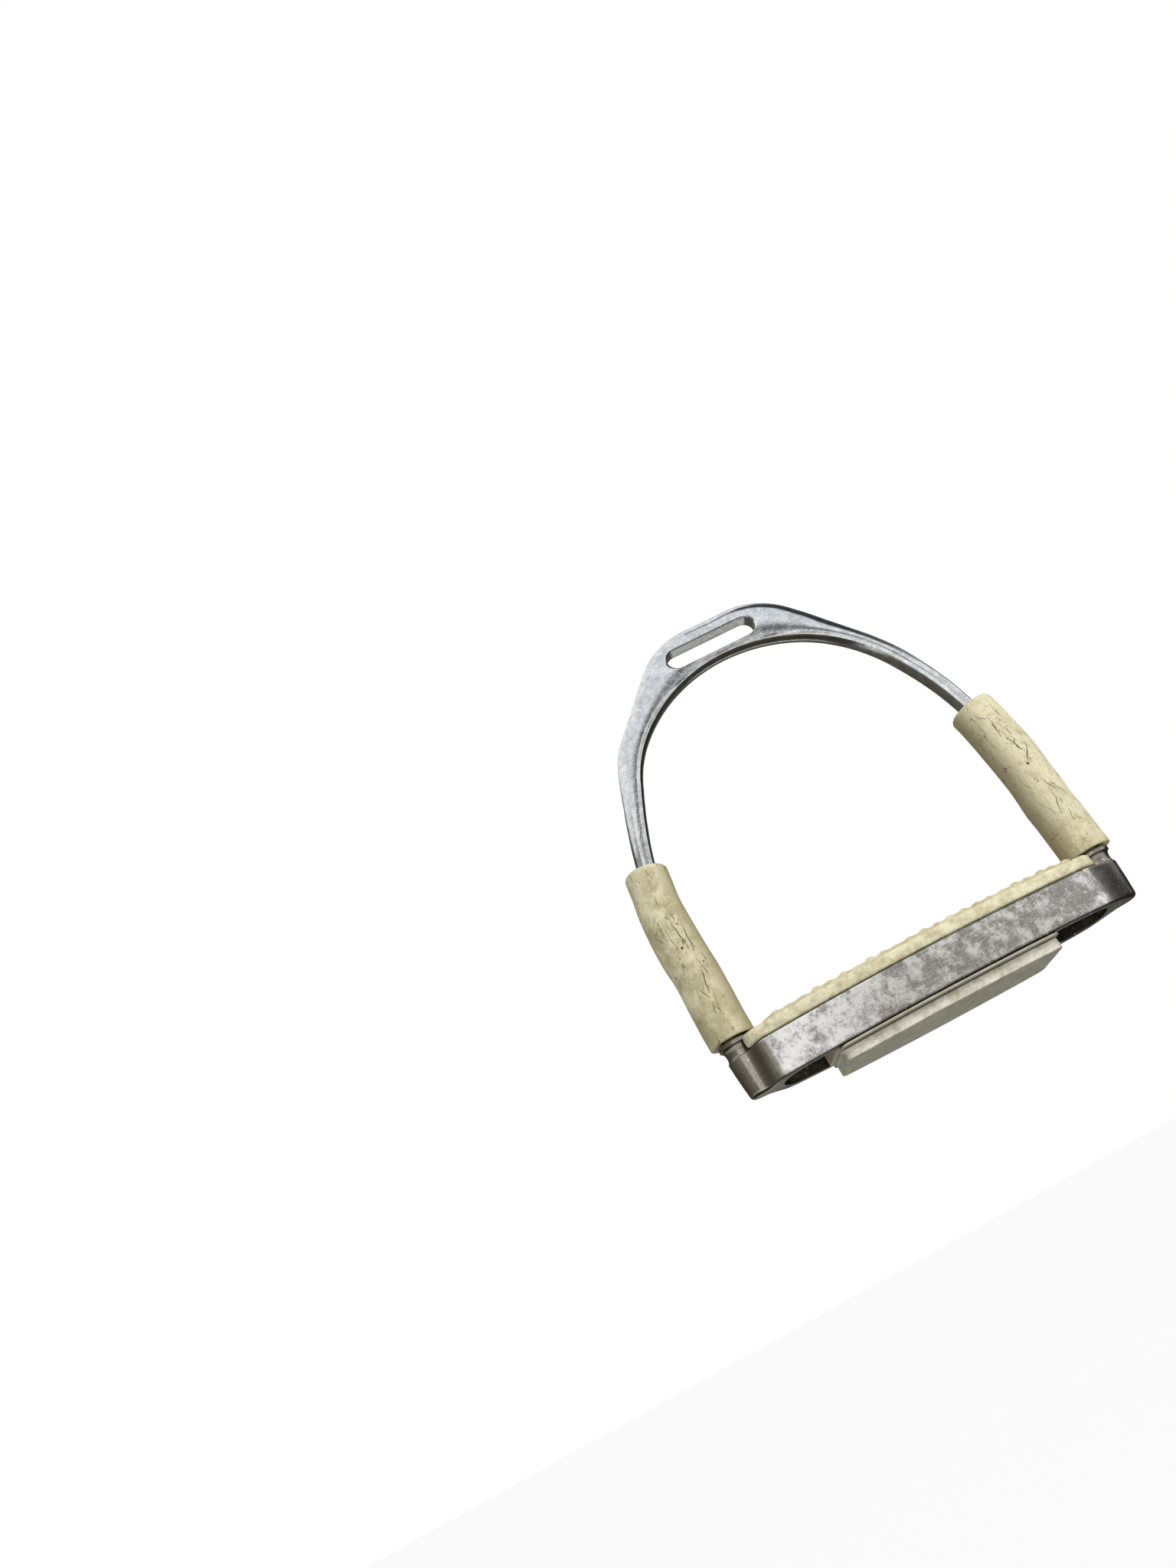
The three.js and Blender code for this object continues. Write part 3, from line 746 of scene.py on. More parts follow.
pad_block = pad_lower()
even_shading(pad_block, 40)
print("block", 2 * BLOCK_HALF, "mm long")

# %% [markdown]
# Rubber that was cleaned and trodden on for years is never flat. After the remesh its points
# move in and out by a sum of smooth waves with seeded phases, a tenth or two of a millimetre.

# %% Wear on rubber
RUBBER_VOXEL = 0.33


def waves(points, wavelength, count=14, source=rng):
    """A smooth random height field over points in millimetres, about -1 to 1."""
    total = np.zeros(len(points))
    for _ in range(count):
        direction = source.normal(size=3)
        length = np.linalg.norm(direction) * wavelength * source.uniform(0.7, 1.5)
        direction *= 2 * math.pi / length
        total += np.sin(points @ direction + source.uniform(0, 2 * math.pi))
    return total / math.sqrt(count)


def vertex_arrays(thing):
    count = len(thing.data.vertices)
    places, normals = np.empty(count * 3), np.empty(count * 3)
    thing.data.vertices.foreach_get("co", places)
    thing.data.vertices.foreach_get("normal", normals)
    return places.reshape(-1, 3) / MM - (0, 0, TREAD_BOTTOM), normals.reshape(-1, 3)


def melt(thing, passes):
    """Fuses overlapping skins to one solid and softens it."""
    remesh = thing.modifiers.new("fuse", "REMESH")
    remesh.mode = "VOXEL"
    remesh.voxel_size = RUBBER_VOXEL * MM
    soften = thing.modifiers.new("soften", "SMOOTH")
    soften.factor = 0.5
    soften.iterations = passes
    keep_result(thing)


print("worn rubber is remeshed at", RUBBER_VOXEL, "mm")

# %% Build the pad
bites = []
for side in (-1, 1):
    hole = [(COLLAR_RADIUS + 0.4, z) for z in (FLANGE_LOW - 1, RIB_HIGH + 1)]
    bites.append(piece("bite", skin(turned(hole, side * BRANCH_X))))
melt(pad, 1)
combine(pad, "DIFFERENCE", *bites)
melt(pad, 3)
places, normals = vertex_arrays(pad)
top = smoothstep(places[:, 2], FLANGE_LOW + 0.5, FLANGE_LOW + 2)
worn = 0.09 * waves(places, 9) + 0.05 * waves(places, 3)
places += normals * (worn * top)[:, None]
pad.data.vertices.foreach_set("co", ((places + (0, 0, TREAD_BOTTOM)) * MM).ravel())
pad.data.update()
pad.name = "tread_pad_top"
pad.data.shade_smooth()
for part in (pad, pad_block):
    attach(part, "tread")
    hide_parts("tread_pad")
print("pad:", len(pad.data.vertices), "points on top")

# %% [markdown]
# ## The sleeves
# Each sleeve is a thick rubber tube that has hardened and cracked. It bends at both rivets
# when the tread sways, so it is made in two halves that meet on the rigid middle link. The
# outline of the tube has the slow bulges of the real one. The cracks are cut into a fine mesh
# and also kept as a value at every point, so that the finish can darken them.

# %% Sizes of the sleeves
TUBE_RADIUS = 8.2
SLEEVE_BOTTOM = COLLAR_TOP + 0.3
SLEEVE_LENGTH = 66.7
SLEEVE_TOP = SLEEVE_BOTTOM + SLEEVE_LENGTH
SLEEVE_ROUND = 2.2
SLEEVE_BORE = 6.0
LEG_BORE = 3.9
SLEEVE_SPLIT = (UPPER_RIVET + LOWER_RIVET) / 2
LEFT_FORM = [  # height, radius, how far the middle lies outside the branch's line
    (18, 8.15, 0.4), (26, 8.25, 0.5), (34, 8.22, 0.42), (41, 8.2, 0.28), (46, 8.22, 0.34),
    (51, 8.34, 0.75), (57, 8.25, 0.95), (64, 8.18, 0.9), (69, 8.05, 0.78), (73, 7.92, 0.5),
    (78, 7.82, 0), (88, 7.82, -0.05)]
RIGHT_FORM = [
    (18, 8.4, -0.3), (28, 8.42, -0.34), (35, 8.4, -0.36), (41, 8.42, -0.62), (47, 8.36, -0.4),
    (53, 8.32, -0.18), (59, 8.5, -0.3), (64, 8.52, -0.45), (69, 8.44, -0.78), (75, 8.4, -1.15),
    (84, 8.36, -1.45), (88, 8.36, -1.5)]


def sleeve_form(table, height):
    """Radius and offset of the middle, with the kinks of the table softened."""
    levels, radii, offsets = zip(*table)
    steps = np.linspace(-2.4, 2.4, 9)
    shares = [(step, 0.5 + 0.5 * math.cos(math.pi * step / 3)) for step in steps]
    total = sum(share for _, share in shares)
    return [sum(share * np.interp(height + step, levels, values) for step, share in shares) / total
            for values in (radii, offsets)]


def along_branch(side, out, sideways, height):
    """Points out from the branch's line, sideways and up along it, for arrays."""
    bend = np.maximum(height - UPRIGHT_HEIGHT, 0) / LEG_RADIUS
    x = BRANCH_X - LEG_RADIUS + (LEG_RADIUS + out) * np.cos(bend)
    bent = UPRIGHT_HEIGHT + (LEG_RADIUS + out) * np.sin(bend)
    z = np.where(height > UPRIGHT_HEIGHT, bent, height)
    return np.stack([side * x, sideways + 0 * x, z], -1)


print(f"sleeves from {SLEEVE_BOTTOM:.1f} to {SLEEVE_TOP:.1f} mm, split at {SLEEVE_SPLIT:.1f} mm")

# %% [markdown]
# A crack is a wandering line on the unrolled tube. The long ones run along the sleeve, where
# the bending stretches the rubber, and short ones branch across them. Their number, length and
# place were chosen for each sleeve. An angle of 0 faces the viewer and +90 the outside.

# %% Where the cracks are
LEFT_CRACKS = [  # angle, height, length, lean, width
    (-10, 58, 13, 0.05, 0.22), (-24, 55, 10, -0.1, 0.2), (14, 57, 8, 0.1, 0.14),
    (-4, 40, 9, -0.15, 0.2), (12, 36, 6, 0.5, 0.16), (-16, 44, 7, 0.2, 0.14),
    (28, 62, 7, 0.0, 0.12), (-34, 47, 6, 0.1, 0.12), (4, 72, 6, 0.2, 0.12), (6, 30, 5, -0.3, 0.12)]
RIGHT_CRACKS = [
    (-2, 63, 9, -0.25, 0.2), (10, 59, 8, 0.5, 0.2), (-14, 72, 10, 0.15, 0.16),
    (6, 45, 7, -0.4, 0.18), (20, 43, 6, -0.5, 0.15), (-8, 38, 8, 0.2, 0.18),
    (30, 68, 8, 0.1, 0.12), (2, 33, 6, 0.1, 0.12), (18, 76, 6, -0.2, 0.12), (36, 52, 6, 0.3, 0.1)]
OUTER_AND_INNER_ZONES = [(60, 175, 26, 82, 30, 6), (-175, -60, 26, 82, 30, 6)]
LEFT_ZONES = [  # lowest and highest angle, lowest and highest place, number, longest
    (-35, 35, 34, 66, 26, 6), (-60, 60, 24, 84, 12, 3)] + OUTER_AND_INNER_ZONES
RIGHT_ZONES = [(-20, 50, 46, 78, 26, 6), (-60, 60, 26, 84, 14, 3)] + OUTER_AND_INNER_ZONES
LEFT_PITS = [(2, 53, 0.55), (-26, 46, 0.4)]  # angle, height, radius
RIGHT_PITS = [(-8, 55, 0.55), (14, 30, 0.35)]
print(len(LEFT_CRACKS), "and", len(RIGHT_CRACKS), "long cracks placed by hand")

# %% Lines of the cracks
CRACK_STEP = 0.5
CRACK_WANDER = 0.098


def crack(angle, height, length, lean, width):
    """Points [arc, height] along one crack, and its width at each, in millimetres."""
    count = max(3, int(length / CRACK_STEP))
    drift = np.cumsum(rng.normal(size=count)) * CRACK_WANDER
    drift -= np.linspace(0, drift[-1], count) * 0.5
    t = np.linspace(-0.5, 0.5, count)
    arc = math.radians(angle) * TUBE_RADIUS + t * length * math.sin(lean) + drift
    rise = height + t * length * math.cos(lean) + rng.normal(size=count) * 0.05
    taper = width * (0.35 + 0.65 * np.cos(t * math.pi)) * rng.uniform(0.75, 1.25, count)
    return np.stack([arc, rise, taper], 1)


def crack_field(zones):
    """Short cracks scattered over zones."""
    lines = []
    for left, right, bottom, top, number, longest in zones:
        for _ in range(number):
            length = rng.uniform(0.25, 1) ** 1.5 * longest
            lean = rng.normal() * 0.35
            lines.append(crack(rng.uniform(left, right), rng.uniform(bottom, top), length, lean,
                               rng.uniform(0.06, 0.12)))
    return lines


print("a crack has a point every", CRACK_STEP, "mm")

# %% Depth of the cracks


def draw_cracks(arc, height, lines):
    """How deep each point of the unrolled tube lies in a crack, from 0 to 1."""
    depth = np.zeros(len(arc))
    for line in lines:
        near = np.where((np.abs(height - line[:, 1].mean()) < np.ptp(line[:, 1]) / 2 + 1)
                        & (np.abs(arc - line[:, 0].mean()) < np.ptp(line[:, 0]) / 2 + 1))[0]
        if not len(near):
            continue
        a, b = line[:-1], line[1:]
        p = np.stack([arc[near], height[near]], 1)[:, None, :]
        run = (b - a)[None, :, :2]
        t = np.clip(((p - a[None, :, :2]) * run).sum(-1) / (run**2).sum(-1), 0, 1)
        gap = np.linalg.norm(p - (a[None, :, :2] + t[..., None] * run), axis=-1)
        width = a[None, :, 2] + t * (b - a)[None, :, 2]
        depth[near] = np.maximum(depth[near], np.exp(-((gap / width) ** 2)).max(1))
    return depth


sample = np.array([[0, -1, 0.2], [0, 1, 0.2]])
beside = np.array([0, 0.1, 0.2, 0.4])
print("0, 0.1, 0.2 and 0.4 mm beside a crack:", draw_cracks(beside, 0 * beside, [sample]).round(2))

# %% [markdown]
# Both halves of a sleeve are the same tube, cut at the link. The mesh is a grid of points a
# fifth of a millimetre apart, fine enough for the cracks to be real grooves. Every point keeps
# three values for the finish: how deep in a crack it lies, its place on the unrolled tube, and
# its place round a straight tube, so that stains don't swim when the sleeve bends.

# %% Ends and kept values of a tube
FOOT_ROUND = 0.45


def tube_radius(radius, heights):
    """Rounds the wall of the tube over its top edge and its foot."""
    edge = SLEEVE_ROUND - np.minimum(SLEEVE_TOP - heights, SLEEVE_ROUND)
    top = SLEEVE_ROUND - np.sqrt(SLEEVE_ROUND**2 - edge**2)
    foot = np.maximum(FOOT_ROUND - (heights - SLEEVE_BOTTOM), 0) ** 2 / FOOT_ROUND
    return radius - top - foot


def keep_values(thing, name, kind, field, values):
    """Keeps values at the points of the outer skin, which come first, and 0 at the others."""
    every = np.zeros((len(thing.data.vertices),) + values.shape[1:], np.float32)
    every[:len(values)] = values
    thing.data.attributes.new(name, kind, "POINT").data.foreach_set(field, every.ravel())


print(f"at its very top a sleeve is {tube_radius(TUBE_RADIUS, SLEEVE_TOP):.1f} mm in radius")

# %% One half of a sleeve
SPACING = 0.22
CRACK_DEPTH = 0.28
PIT_DEPTH = 0.7
SEAM_DEGREES = 75
AROUND = int(2 * math.pi * TUBE_RADIUS / SPACING)


def sleeve_half(name, side, table, low, high, lines, pits):
    """A closed tube from low to high, with its outer skin first."""
    angle = np.arange(AROUND) * 2 * math.pi / AROUND
    heights = np.linspace(low, high, int((high - low) / SPACING) + 1)
    radius, middle = sleeve_form(table, heights)
    turn, height = np.meshgrid(angle, heights)
    arc = ((turn + math.pi) % (2 * math.pi) - math.pi) * TUBE_RADIUS
    cut = draw_cracks(arc.ravel(), height.ravel(), lines).reshape(arc.shape)
    pit = np.zeros_like(arc)
    for pit_angle, pit_height, size in pits:
        distance = np.hypot(arc - math.radians(pit_angle) * TUBE_RADIUS, height - pit_height)
        pit = np.maximum(pit, 1 - smoothstep(distance, 0.5 * size, size))
    places = np.stack([TUBE_RADIUS * np.sin(turn), TUBE_RADIUS * np.cos(turn), height], -1)
    places = places.reshape(-1, 3)
    lumps = 0.07 * waves(places, 13, source=np.random.default_rng(40 + side)).reshape(arc.shape)
    wall = tube_radius(radius, heights)[:, None] - CRACK_DEPTH * cut - PIT_DEPTH * pit + lumps
    outer = along_branch(side, wall * np.sin(turn) + middle[:, None], -wall * np.cos(turn), height)
    bore_heights = heights[::-1][::8]
    bore = np.where(bore_heights > SLEEVE_TOP - 5, LEG_BORE, SLEEVE_BORE)
    bore = np.where(bore_heights < SLEEVE_BOTTOM + 12, STUB_RADIUS + 0.3, bore)[:, None]
    bore_turn, bore_height = np.meshgrid(angle, bore_heights)
    inner = along_branch(side, bore * np.sin(bore_turn), -bore * np.cos(bore_turn), bore_height)
    half = piece(name, skin(np.concatenate([outer, inner]), wrap=True))
    unrolled = np.stack([arc.ravel(), height.ravel(), np.full(arc.size, side)], 1)
    keep_values(half, "crack", "FLOAT", "value", np.maximum(cut, pit).ravel())
    keep_values(half, "unrolled", "FLOAT_VECTOR", "vector", unrolled)
    keep_values(half, "rest_place", "FLOAT_VECTOR", "vector", places + (40 * side, 0, 0))
    half.data.shade_smooth()
    half.data.set_sharp_from_angle(angle=math.radians(SEAM_DEGREES))
    return half


print(AROUND, "points round a sleeve,", SPACING, "mm apart")

# %% Build the sleeves
sleeves = []
for word, side, table, hand_placed, zones, pits, last_body in (
        ("left", -1, LEFT_FORM, LEFT_CRACKS, LEFT_ZONES, LEFT_PITS, "tread"),
        ("right", 1, RIGHT_FORM, RIGHT_CRACKS, RIGHT_ZONES, RIGHT_PITS, "right_lower_pin")):
    lines = [crack(*values) for values in hand_placed] + crack_field(zones)
    for part, low, high, rivet, bodies in (
            ("upper", SLEEVE_SPLIT, SLEEVE_TOP, UPPER_RIVET, ("arch", f"{word}_link")),
            ("lower", SLEEVE_BOTTOM, SLEEVE_SPLIT, LOWER_RIVET, (f"{word}_link", last_body))):
        half = sleeve_half(f"{word}_sleeve_{part}", side, table, low, high, lines, pits)
        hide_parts(f"{word}_sleeve")
        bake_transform(half)
        sleeves.append(half)
        print(half.name, len(half.data.vertices), "points")

# %% [markdown]
# ## Finishes
# One function turns a colour written as six hexadecimal digits to the linear values that the
# renderer wants, and one adds a node with its settings and its links. Where a material has
# dirt or wear, it is laid over the clean finish as a coat that grows between two values.

# %% Colours and nodes


def linear(colour):
    """An sRGB colour such as "C8C0A0" in linear values."""
    parts = [int(colour[i:i + 2], 16) / 255 for i in (0, 2, 4)]
    return [c / 12.92 if c <= 0.04045 else ((c + 0.055) / 1.055) ** 2.4 for c in parts] + [1.0]


def feed(tree, made, sockets):
    """Links each input to the node or output that feeds it, or sets a number or a hex colour."""
    for key, value in sockets.items():
        if isinstance(value, bpy.types.Node):
            value = next(output for output in value.outputs if output.enabled)
        if isinstance(value, bpy.types.NodeSocket):
            tree.links.new(value, made.inputs[key])
        else:
            made.inputs[key].default_value = linear(value) if isinstance(value, str) else value


def node(tree, kind, sockets=None, **settings):
    """Adds a shader node, such as "Math", with its settings, and feeds its inputs."""
    made = tree.nodes.new("ShaderNode" + kind)
    for name, value in settings.items():
        setattr(made, name, value)
    feed(tree, made, sockets or {})
    return made


print("the linear value of 808080 is", round(linear("808080")[0], 3))

# %% Materials and coats


def new_material(name):
    """A material, its node tree, its shader and its output."""
    material = bpy.data.materials.new(name)
    material.use_nodes = True
    nodes = {n.type: n for n in material.node_tree.nodes}
    return material, material.node_tree, nodes["BSDF_PRINCIPLED"], nodes["OUTPUT_MATERIAL"]


def coated(tree, under, coats):
    """Lays coats over a finish: [value, where it starts, where it is full, share, colour]."""
    for value, start, full, share, colour in coats:
        mask = node(tree, "MapRange", {
            "Value": value, "From Min": start, "From Max": full, "To Max": share})
        under = node(tree, "Mix", {0: mask, 6: under, 7: colour}, data_type="RGBA")
    return under


def per_mm(length):
    """Texture scale for a pattern whose features are about length millimetres apart."""
    return 1 / (length * MM)


def paint(thing, material):
    thing.data.materials.clear()
    thing.data.materials.append(material)


print("a pattern of 1 mm has a scale of", round(per_mm(1)))

# %% [markdown]
# Both castings carry fine scratches. A scratch is too fine to model, so it is a line in a noise
# that is stretched along it. The real ones are a tenth of a millimetre apart, and here they
# are a third, as coarse as they need to be to show.

# %% Scratches
SCRATCH_STRETCH = 26


def scratches(tree, place, lines):
    """The most of some patterns of lines, each [lean from the vertical, spacing, how thin]."""
    most = 0.0
    for lean, spacing, thin in lines:
        stretched = node(tree, "Mapping", {
            "Vector": place, "Rotation": (math.pi / 2, lean, 0),
            "Scale": (spacing * MM, spacing * SCRATCH_STRETCH * MM, spacing * MM)},
            vector_type="TEXTURE")
        noise = node(tree, "TexNoise", {
            "Vector": stretched, "Scale": 1.0, "Detail": 2.0, "Roughness": 0.6})
        pattern = node(tree, "MapRange", {
            "Value": noise, "From Min": thin, "From Max": thin + 0.12})
        most = node(tree, "Math", {0: most, 1: pattern}, operation="MAXIMUM")
    return most


print("a scratch is about", SCRATCH_STRETCH, "times as long as wide")

# %% [markdown]
# Polished cast stainless steel: a clear, slightly cool metal. Hand polishing leaves it a little
# wavy, and cleaning leaves hairline scratches in every direction. The waviness breaks up the
# reflections and the scratches spread them. Pale mottled patches are partly a bloom where the
# polish has worn and partly painted highlights.

# %% Polished stainless steel


def polished_stainless():
    material, tree, shader, _ = new_material("polished_stainless")
    place = node(tree, "TexCoord").outputs["Object"]
    cloud, bloom_and_glints, wavy = [node(tree, "TexNoise", {
        "Vector": place, "Scale": per_mm(size), "Detail": detail, "Roughness": roughness})
        for size, detail, roughness in ((14, 4.0, 0.6), (2.6, 9.0, 0.8), (7, 1.0, 0.4))]
    tint = node(tree, "Mix", {0: cloud, 6: "B8BABC", 7: "CED0D2"}, data_type="RGBA")
    # Pale patches: worn bloom, and painted mottled highlights.
    tint = coated(tree, tint, [(bloom_and_glints, 0.42, 0.64, 1.0, "F4F6F8")])
    lines = scratches(tree, place, [(0.5, 0.3, 0.62), (-0.9, 0.4, 0.64), (1.3, 0.28, 0.62)])
    dull = node(tree, "MapRange", {
        "Value": cloud, "From Min": 0.35, "From Max": 0.7, "To Min": 0.08, "To Max": 0.15})
    rough = node(tree, "Math", {0: lines, 1: 0.12, 2: dull}, operation="MULTIPLY_ADD")
    waviness = node(tree, "Bump", {"Height": wavy, "Strength": 1.0, "Distance": 0.05 * MM})
    grain = node(tree, "Bump", {
        "Height": bloom_and_glints, "Strength": 0.8, "Distance": 0.04 * MM, "Normal": waviness})
    fine = node(tree, "Bump", {
        "Height": lines, "Strength": 0.5, "Distance": 0.012 * MM, "Normal": grain})
    feed(tree, shader, {
        "Base Color": tint, "Metallic": 1.0, "Roughness": rough, "Normal": fine})
    return material


paint(arch, polished_stainless())
print("arch:", arch.data.materials[0].name)

# %% [markdown]
# The tread's wall is the same steel, dulled by boots and stable floors. It carries cloudy grey
# and pale patches, pale rubbed places and small bright nicks, and is rougher than the arch. The
# pale patches grow towards the left as a painted reflection. Painted shade darkens the inside of
# the ring, and the posts are painted a darker warm grey as a painted dim reflection. The neck
# under the flange and the bottom edge are darker.

# %% Painted shade inside the tread


def inside_ring(tree, across, depth):
    """1 on the inner side of the walls and between the posts, otherwise 0."""
    bow = node(tree, "Math", {0: across, 1: across}, operation="MULTIPLY")
    depth = node(tree, "Math", {0: depth}, operation="ABSOLUTE")
    from_middle = node(tree, "Math", {
        0: bow, 1: 1 / (2 * WALL_RADIUS * MM), 2: depth}, operation="MULTIPLY_ADD")
    behind = node(tree, "MapRange", {
        "Value": from_middle, "From Min": (TREAD_HALF_DEPTH - 1.6) * MM,
        "From Max": (TREAD_HALF_DEPTH - 3.2) * MM})
    between = node(tree, "MapRange", {
        "Value": node(tree, "Math", {0: across}, operation="ABSOLUTE"),
        "From Min": (TURN_X + 0.5) * MM, "From Max": (TURN_X - 1) * MM, "To Max": 0.9})
    return node(tree, "Math", {0: behind, 1: between}, operation="MULTIPLY")


# This mask is used to paint shade inside the ring.
print(f"dirt inside the ring as far as {TURN_X:.1f} mm from the middle")

# %% Dulled stainless steel


def dulled_stainless():
    material, tree, shader, _ = new_material("dulled_stainless")
    place = node(tree, "TexCoord").outputs["Object"]
    cloud, speck = [node(tree, "TexNoise", {
        "Vector": place, "Scale": per_mm(size), "Detail": detail, "Roughness": roughness})
        for size, detail, roughness in ((5.5, 10.0, 0.78), (1.1, 2.0, 0.5))]
    across, depth, height = node(tree, "SeparateXYZ", {0: place}).outputs
    far_along = node(tree, "Math", {0: across}, operation="ABSOLUTE")
    # Pale patches, painted stronger towards the left as a painted reflection.
    left_sheen_and_patches = node(tree, "Math", {0: across, 1: -0.8, 2: cloud}, operation="MULTIPLY_ADD")
    rubbed = scratches(tree, place, [(0.12, 0.3, 0.55), (1.5, 0.3, 0.55)])
    rubbed = node(tree, "Math", {0: rubbed, 1: 0.5}, operation="MULTIPLY")
    colour = coated(tree, "9C9892", [
        (left_sheen_and_patches, 0.45, 0.57, 1.0, "F0F0EE"),
        (rubbed, 0.0, 1.0, 1.0, "F4F4F2"),
        # darker on the neck above the posts
        (height, level(TREAD_HEIGHT + 0.9), level(TREAD_HEIGHT + 2.2), 0.7, "857B6E"),
        # painted shade inside the ring and between the posts
        (inside_ring(tree, across, depth), 0.0, 1.0, 1.0, "4A463C"),
        # darker along the bottom edge
        (height, level(0.9), level(0.3), 0.85, "4A463C"),
        # painted dim reflection: the posts past the S curves are a darker warm grey
        (far_along, (TURN_X + 1.5) * MM, (TURN_X + 4) * MM, 0.8, "9A958A"),
        (speck, 0.66, 0.72, 1.0, "EDEBE6")])
    rough = node(tree, "MapRange", {
        "Value": cloud, "From Min": 0.35, "From Max": 0.65, "To Min": 0.38, "To Max": 0.2})
    wavy = node(tree, "Bump", {"Height": cloud, "Strength": 0.6, "Distance": 0.05 * MM})
    fine = node(tree, "Bump", {
        "Height": rubbed, "Strength": 0.4, "Distance": 0.02 * MM, "Normal": wavy})
    feed(tree, shader, {
        "Base Color": colour, "Metallic": 1.0, "Roughness": rough, "Normal": fine})
    return material


paint(tread, dulled_stainless())
print("tread:", tread.data.materials[0].name)

# %% [markdown]
# Aged natural rubber has gone from white to cream, and it takes up dirt in olive and brown
# stains. The side that faces the foot is painted darker olive as painted shade, with a ragged
# stain edge. It has no shine of its own left, only a soft sheen. The cracks cut in the mesh are
# dark, because dirt stays in them, and a net of crazing too fine to cut is drawn between them.
# Lengths here are millimetres, as in the kept places.

# %% Crazing
CELL_WIDTH = 3
CELL_LENGTH = 8


def crazing(tree, place, streak):
    """A net of hairlines where the streaks are."""
    drawn_out = node(tree, "Mapping", {
        "Vector": place, "Scale": (1 / CELL_WIDTH, 1 / CELL_WIDTH, 1 / CELL_LENGTH)})
    cell_edge = node(tree, "TexVoronoi", {"Vector": drawn_out, "Scale": 1.0},
                     feature="DISTANCE_TO_EDGE")
    hairline, crazed = [node(tree, "MapRange", {
        "Value": value, "From Min": start, "From Max": full, "To Max": share})
        for value, start, full, share in ((cell_edge, 0.035, 0.01, 1.0), (streak, 0.5, 0.62, 0.8))]
    return node(tree, "Math", {0: hairline, 1: crazed}, operation="MULTIPLY")


print("crazing in cells of", CELL_WIDTH, "by", CELL_LENGTH, "mm")

# %% Aged rubber of the sleeves


def aged_rubber():
    material, tree, shader, _ = new_material("aged_sleeve_rubber")
    unrolled, place, crack_value = [
        node(tree, "Attribute", attribute_name=name).outputs[output]
        for name, output in (("unrolled", "Vector"), ("rest_place", "Vector"), ("crack", "Fac"))]
    stain, grain = [node(tree, "TexNoise", {
        "Vector": place, "Scale": 1 / size, "Detail": detail, "Roughness": roughness})
        for size, detail, roughness in ((9, 8.0, 0.72), (0.8, 3.0, 0.6))]
    streak_place = node(tree, "Mapping", {"Vector": place, "Scale": (1 / 1.6, 1 / 1.6, 1 / 12)})
    streak = node(tree, "TexNoise", {
        "Vector": streak_place, "Scale": 1.0, "Detail": 4.0, "Roughness": 0.6})
    arc, along, side = node(tree, "SeparateXYZ", {0: unrolled}).outputs
    dirtier = node(tree, "Math", {0: side, 1: -0.035, 2: stain}, operation="MULTIPLY_ADD")
    dirtier = node(tree, "Math", {0: along, 1: -0.0012, 2: dirtier}, operation="MULTIPLY_ADD")
    # Painted shade: the side that faces the foot is darker olive, with a ragged stain edge.
    inner_shade_and_stain = node(tree, "Math", {0: stain, 1: 16.0, 2: arc}, operation="MULTIPLY_ADD")
    crack_mask = node(tree, "MapRange", {"Value": crack_value, "From Min": 0.3, "From Max": 0.75})
    every_crack = node(tree, "Math", {0: crazing(tree, place, streak), 1: crack_mask},
                       operation="MAXIMUM")
    colour = coated(tree, "D0C8A7", [
        (dirtier, 0.384, 0.57, 0.85, "9E956F"),
        (inner_shade_and_stain, 4.5, -2.5, 0.85, "8A8060"),
        (streak, 0.55, 0.8, 0.4, "8E8560"),
        (every_crack, 0.0, 1.0, 1.0, "3A2F1E"),
        (grain, 0.5, 0.62, 0.35, "A39A78")])
    grained = node(tree, "Bump", {"Height": grain, "Strength": 0.6, "Distance": 0.09 * MM})
    feed(tree, shader, {"Base Color": colour, "Roughness": 0.7, "Normal": grained})
    return material


sleeve_finish = aged_rubber()
for half in sleeves:
    paint(half, sleeve_finish)
print("sleeves:", sleeve_finish.name)

# %% [markdown]
# The pad is the same family of rubber, moulded a little yellower. Its flange is mottled, the
# ribs hold tan dirt, and the strip under the walls and the bottom of the block are a darker grey.

# %% Rubber of the pad


def pad_rubber():
    material, tree, shader, _ = new_material("moulded_pad_rubber")
    place = node(tree, "TexCoord").outputs["Object"]
    height = node(tree, "SeparateXYZ", {0: place}).outputs[2]
    cloud = node(tree, "TexNoise", {
        "Vector": place, "Scale": per_mm(3.5), "Detail": 8.0, "Roughness": 0.72})
    flange, ribs, low, block_bottom = [coated(tree, clean, [(cloud, 0.42, 0.62, 1.0, dirty)])
                                 for clean, dirty in (("D4CEB0", "B1A882"), ("B8AF8C", "AC9567"),
                                                      ("DAD5C6", "B0A994"), ("ACA792", "8D8873"))]
    # The strip under the walls is a darker grey.
    low = coated(tree, low, [(height, level(STRIP_LOW - 0.2), level(STRIP_LOW), 0.75, "878374")])
    colour = coated(tree, flange, [
        (height, level(FLANGE_HIGH - 0.4), level(FLANGE_HIGH + 0.3), 0.55, ribs),
        (height, level(0.5), level(-1), 1.0, low),
        (height, level(BLOCK_LOW + 0.5), level(BLOCK_LOW + 0.1), 0.8, block_bottom)])
    grained = node(tree, "Bump", {"Height": cloud, "Strength": 0.5, "Distance": 0.12 * MM})
    feed(tree, shader, {"Base Color": colour, "Roughness": 0.5, "Normal": grained})
    return material


pad_finish = pad_rubber()
paint(pad, pad_finish)
paint(pad_block, pad_finish)
print("pad:", pad_finish.name)

# %% [markdown]
# The links and rivets inside the sleeves are pressed and headed steel, blasted clean and left
# grey. The frame's own solids are right for them, so they only get their finish.

# %% Link and rivet steel


